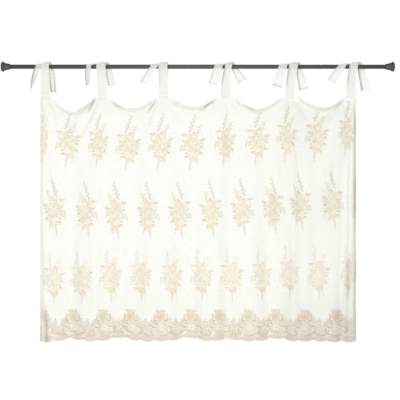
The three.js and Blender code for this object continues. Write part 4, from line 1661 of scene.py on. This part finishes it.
# %% Outlines of the rod and the caps
SPAN = 1614.0
ROD_RADIUS = 8.8
TUBE_WALL = 1.0
CAP_LENGTH = 38.0
CAP_BORE_DEPTH = 28.0
TURN_SIDES = 72
Ring = namedtuple("Ring", "along radius")
CAP_RINGS = [
    Ring(0, 10.6), Ring(1.5, 11.6), Ring(8, 12.7), Ring(15, 14.1), Ring(20, 15.4), Ring(24.5, 17.8),
    Ring(27.5, 19.9), Ring(30, 20.5), Ring(33, 19.8), Ring(36, 17), Ring(38, 13),
]
RING_STEPS = 4
NEAR_AXIS = 0.01


def turned_mesh(outline):
    """An outline of distance along X and radius, swept round the rod's axis."""
    outline = np.asarray(outline, dtype=float)
    turn = np.linspace(0, 2 * np.pi, TURN_SIDES, endpoint=False)
    x = np.broadcast_to(outline[:, :1], (len(outline), TURN_SIDES))
    y = outline[:, 1:] * np.cos(turn)
    z = outline[:, 1:] * np.sin(turn)
    points = np.stack([x, y, z], axis=-1).reshape(-1, 3)
    index = np.arange(len(points)).reshape(len(outline), TURN_SIDES)
    following = np.roll(index, -1, axis=1)
    faces = np.stack([index[:-1], following[:-1], following[1:], index[1:]], axis=-1)
    return points, faces.reshape(-1, 4)


def smooth_outline(rings):
    """The rings joined by a curve that passes through each of them."""
    knots = np.array(rings, dtype=float)
    slopes = np.gradient(knots, axis=0)
    outline = []
    for k in range(len(knots) - 1):
        for t in np.linspace(0, 1, RING_STEPS, endpoint=False):
            outline.append(
                (1 + 2 * t) * (1 - t) ** 2 * knots[k] + t * (1 - t) ** 2 * slopes[k]
                + t * t * (3 - 2 * t) * knots[k + 1] + t * t * (t - 1) * slopes[k + 1])
    return np.array(outline + [knots[-1]])


print("points on a cap's outline:", len(smooth_outline(CAP_RINGS)))


# %% Turn the rod and the caps
def cap_mesh(side):
    """From the bottom of the bore out to its mouth, over the flared body and in to the axis."""
    mouth = SPAN / 2 - CAP_LENGTH
    bore = ROD_RADIUS + FIT_GAP
    socket = [(CAP_BORE_DEPTH, NEAR_AXIS), (CAP_BORE_DEPTH, bore), (0, bore)]
    outline = np.concatenate([socket, smooth_outline(CAP_RINGS), [(CAP_LENGTH, NEAR_AXIS)]])
    outline[:, 0] = side * (mouth + outline[:, 0])
    points, faces = turned_mesh(outline)
    return points, faces if side < 0 else faces[:, ::-1]


half_rod = SPAN / 2 - (CAP_LENGTH - CAP_BORE_DEPTH) - FIT_GAP
inner = ROD_RADIUS - TUBE_WALL
rod_outline = [(-half_rod, inner), (-half_rod, ROD_RADIUS), (half_rod, ROD_RADIUS), (half_rod, inner)]
rod_points, rod_faces = turned_mesh(rod_outline)
rod = add_mesh("satin_rod", rod_points, rod_faces, SATIN)
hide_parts("rod")
for name, side in (("left", -1), ("right", 1)):
    cap = add_mesh(f"rubber_cap_{name}", *cap_mesh(side), RUBBER)
    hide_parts(f"cap_{name}")
print("rod faces:", len(rod_faces))
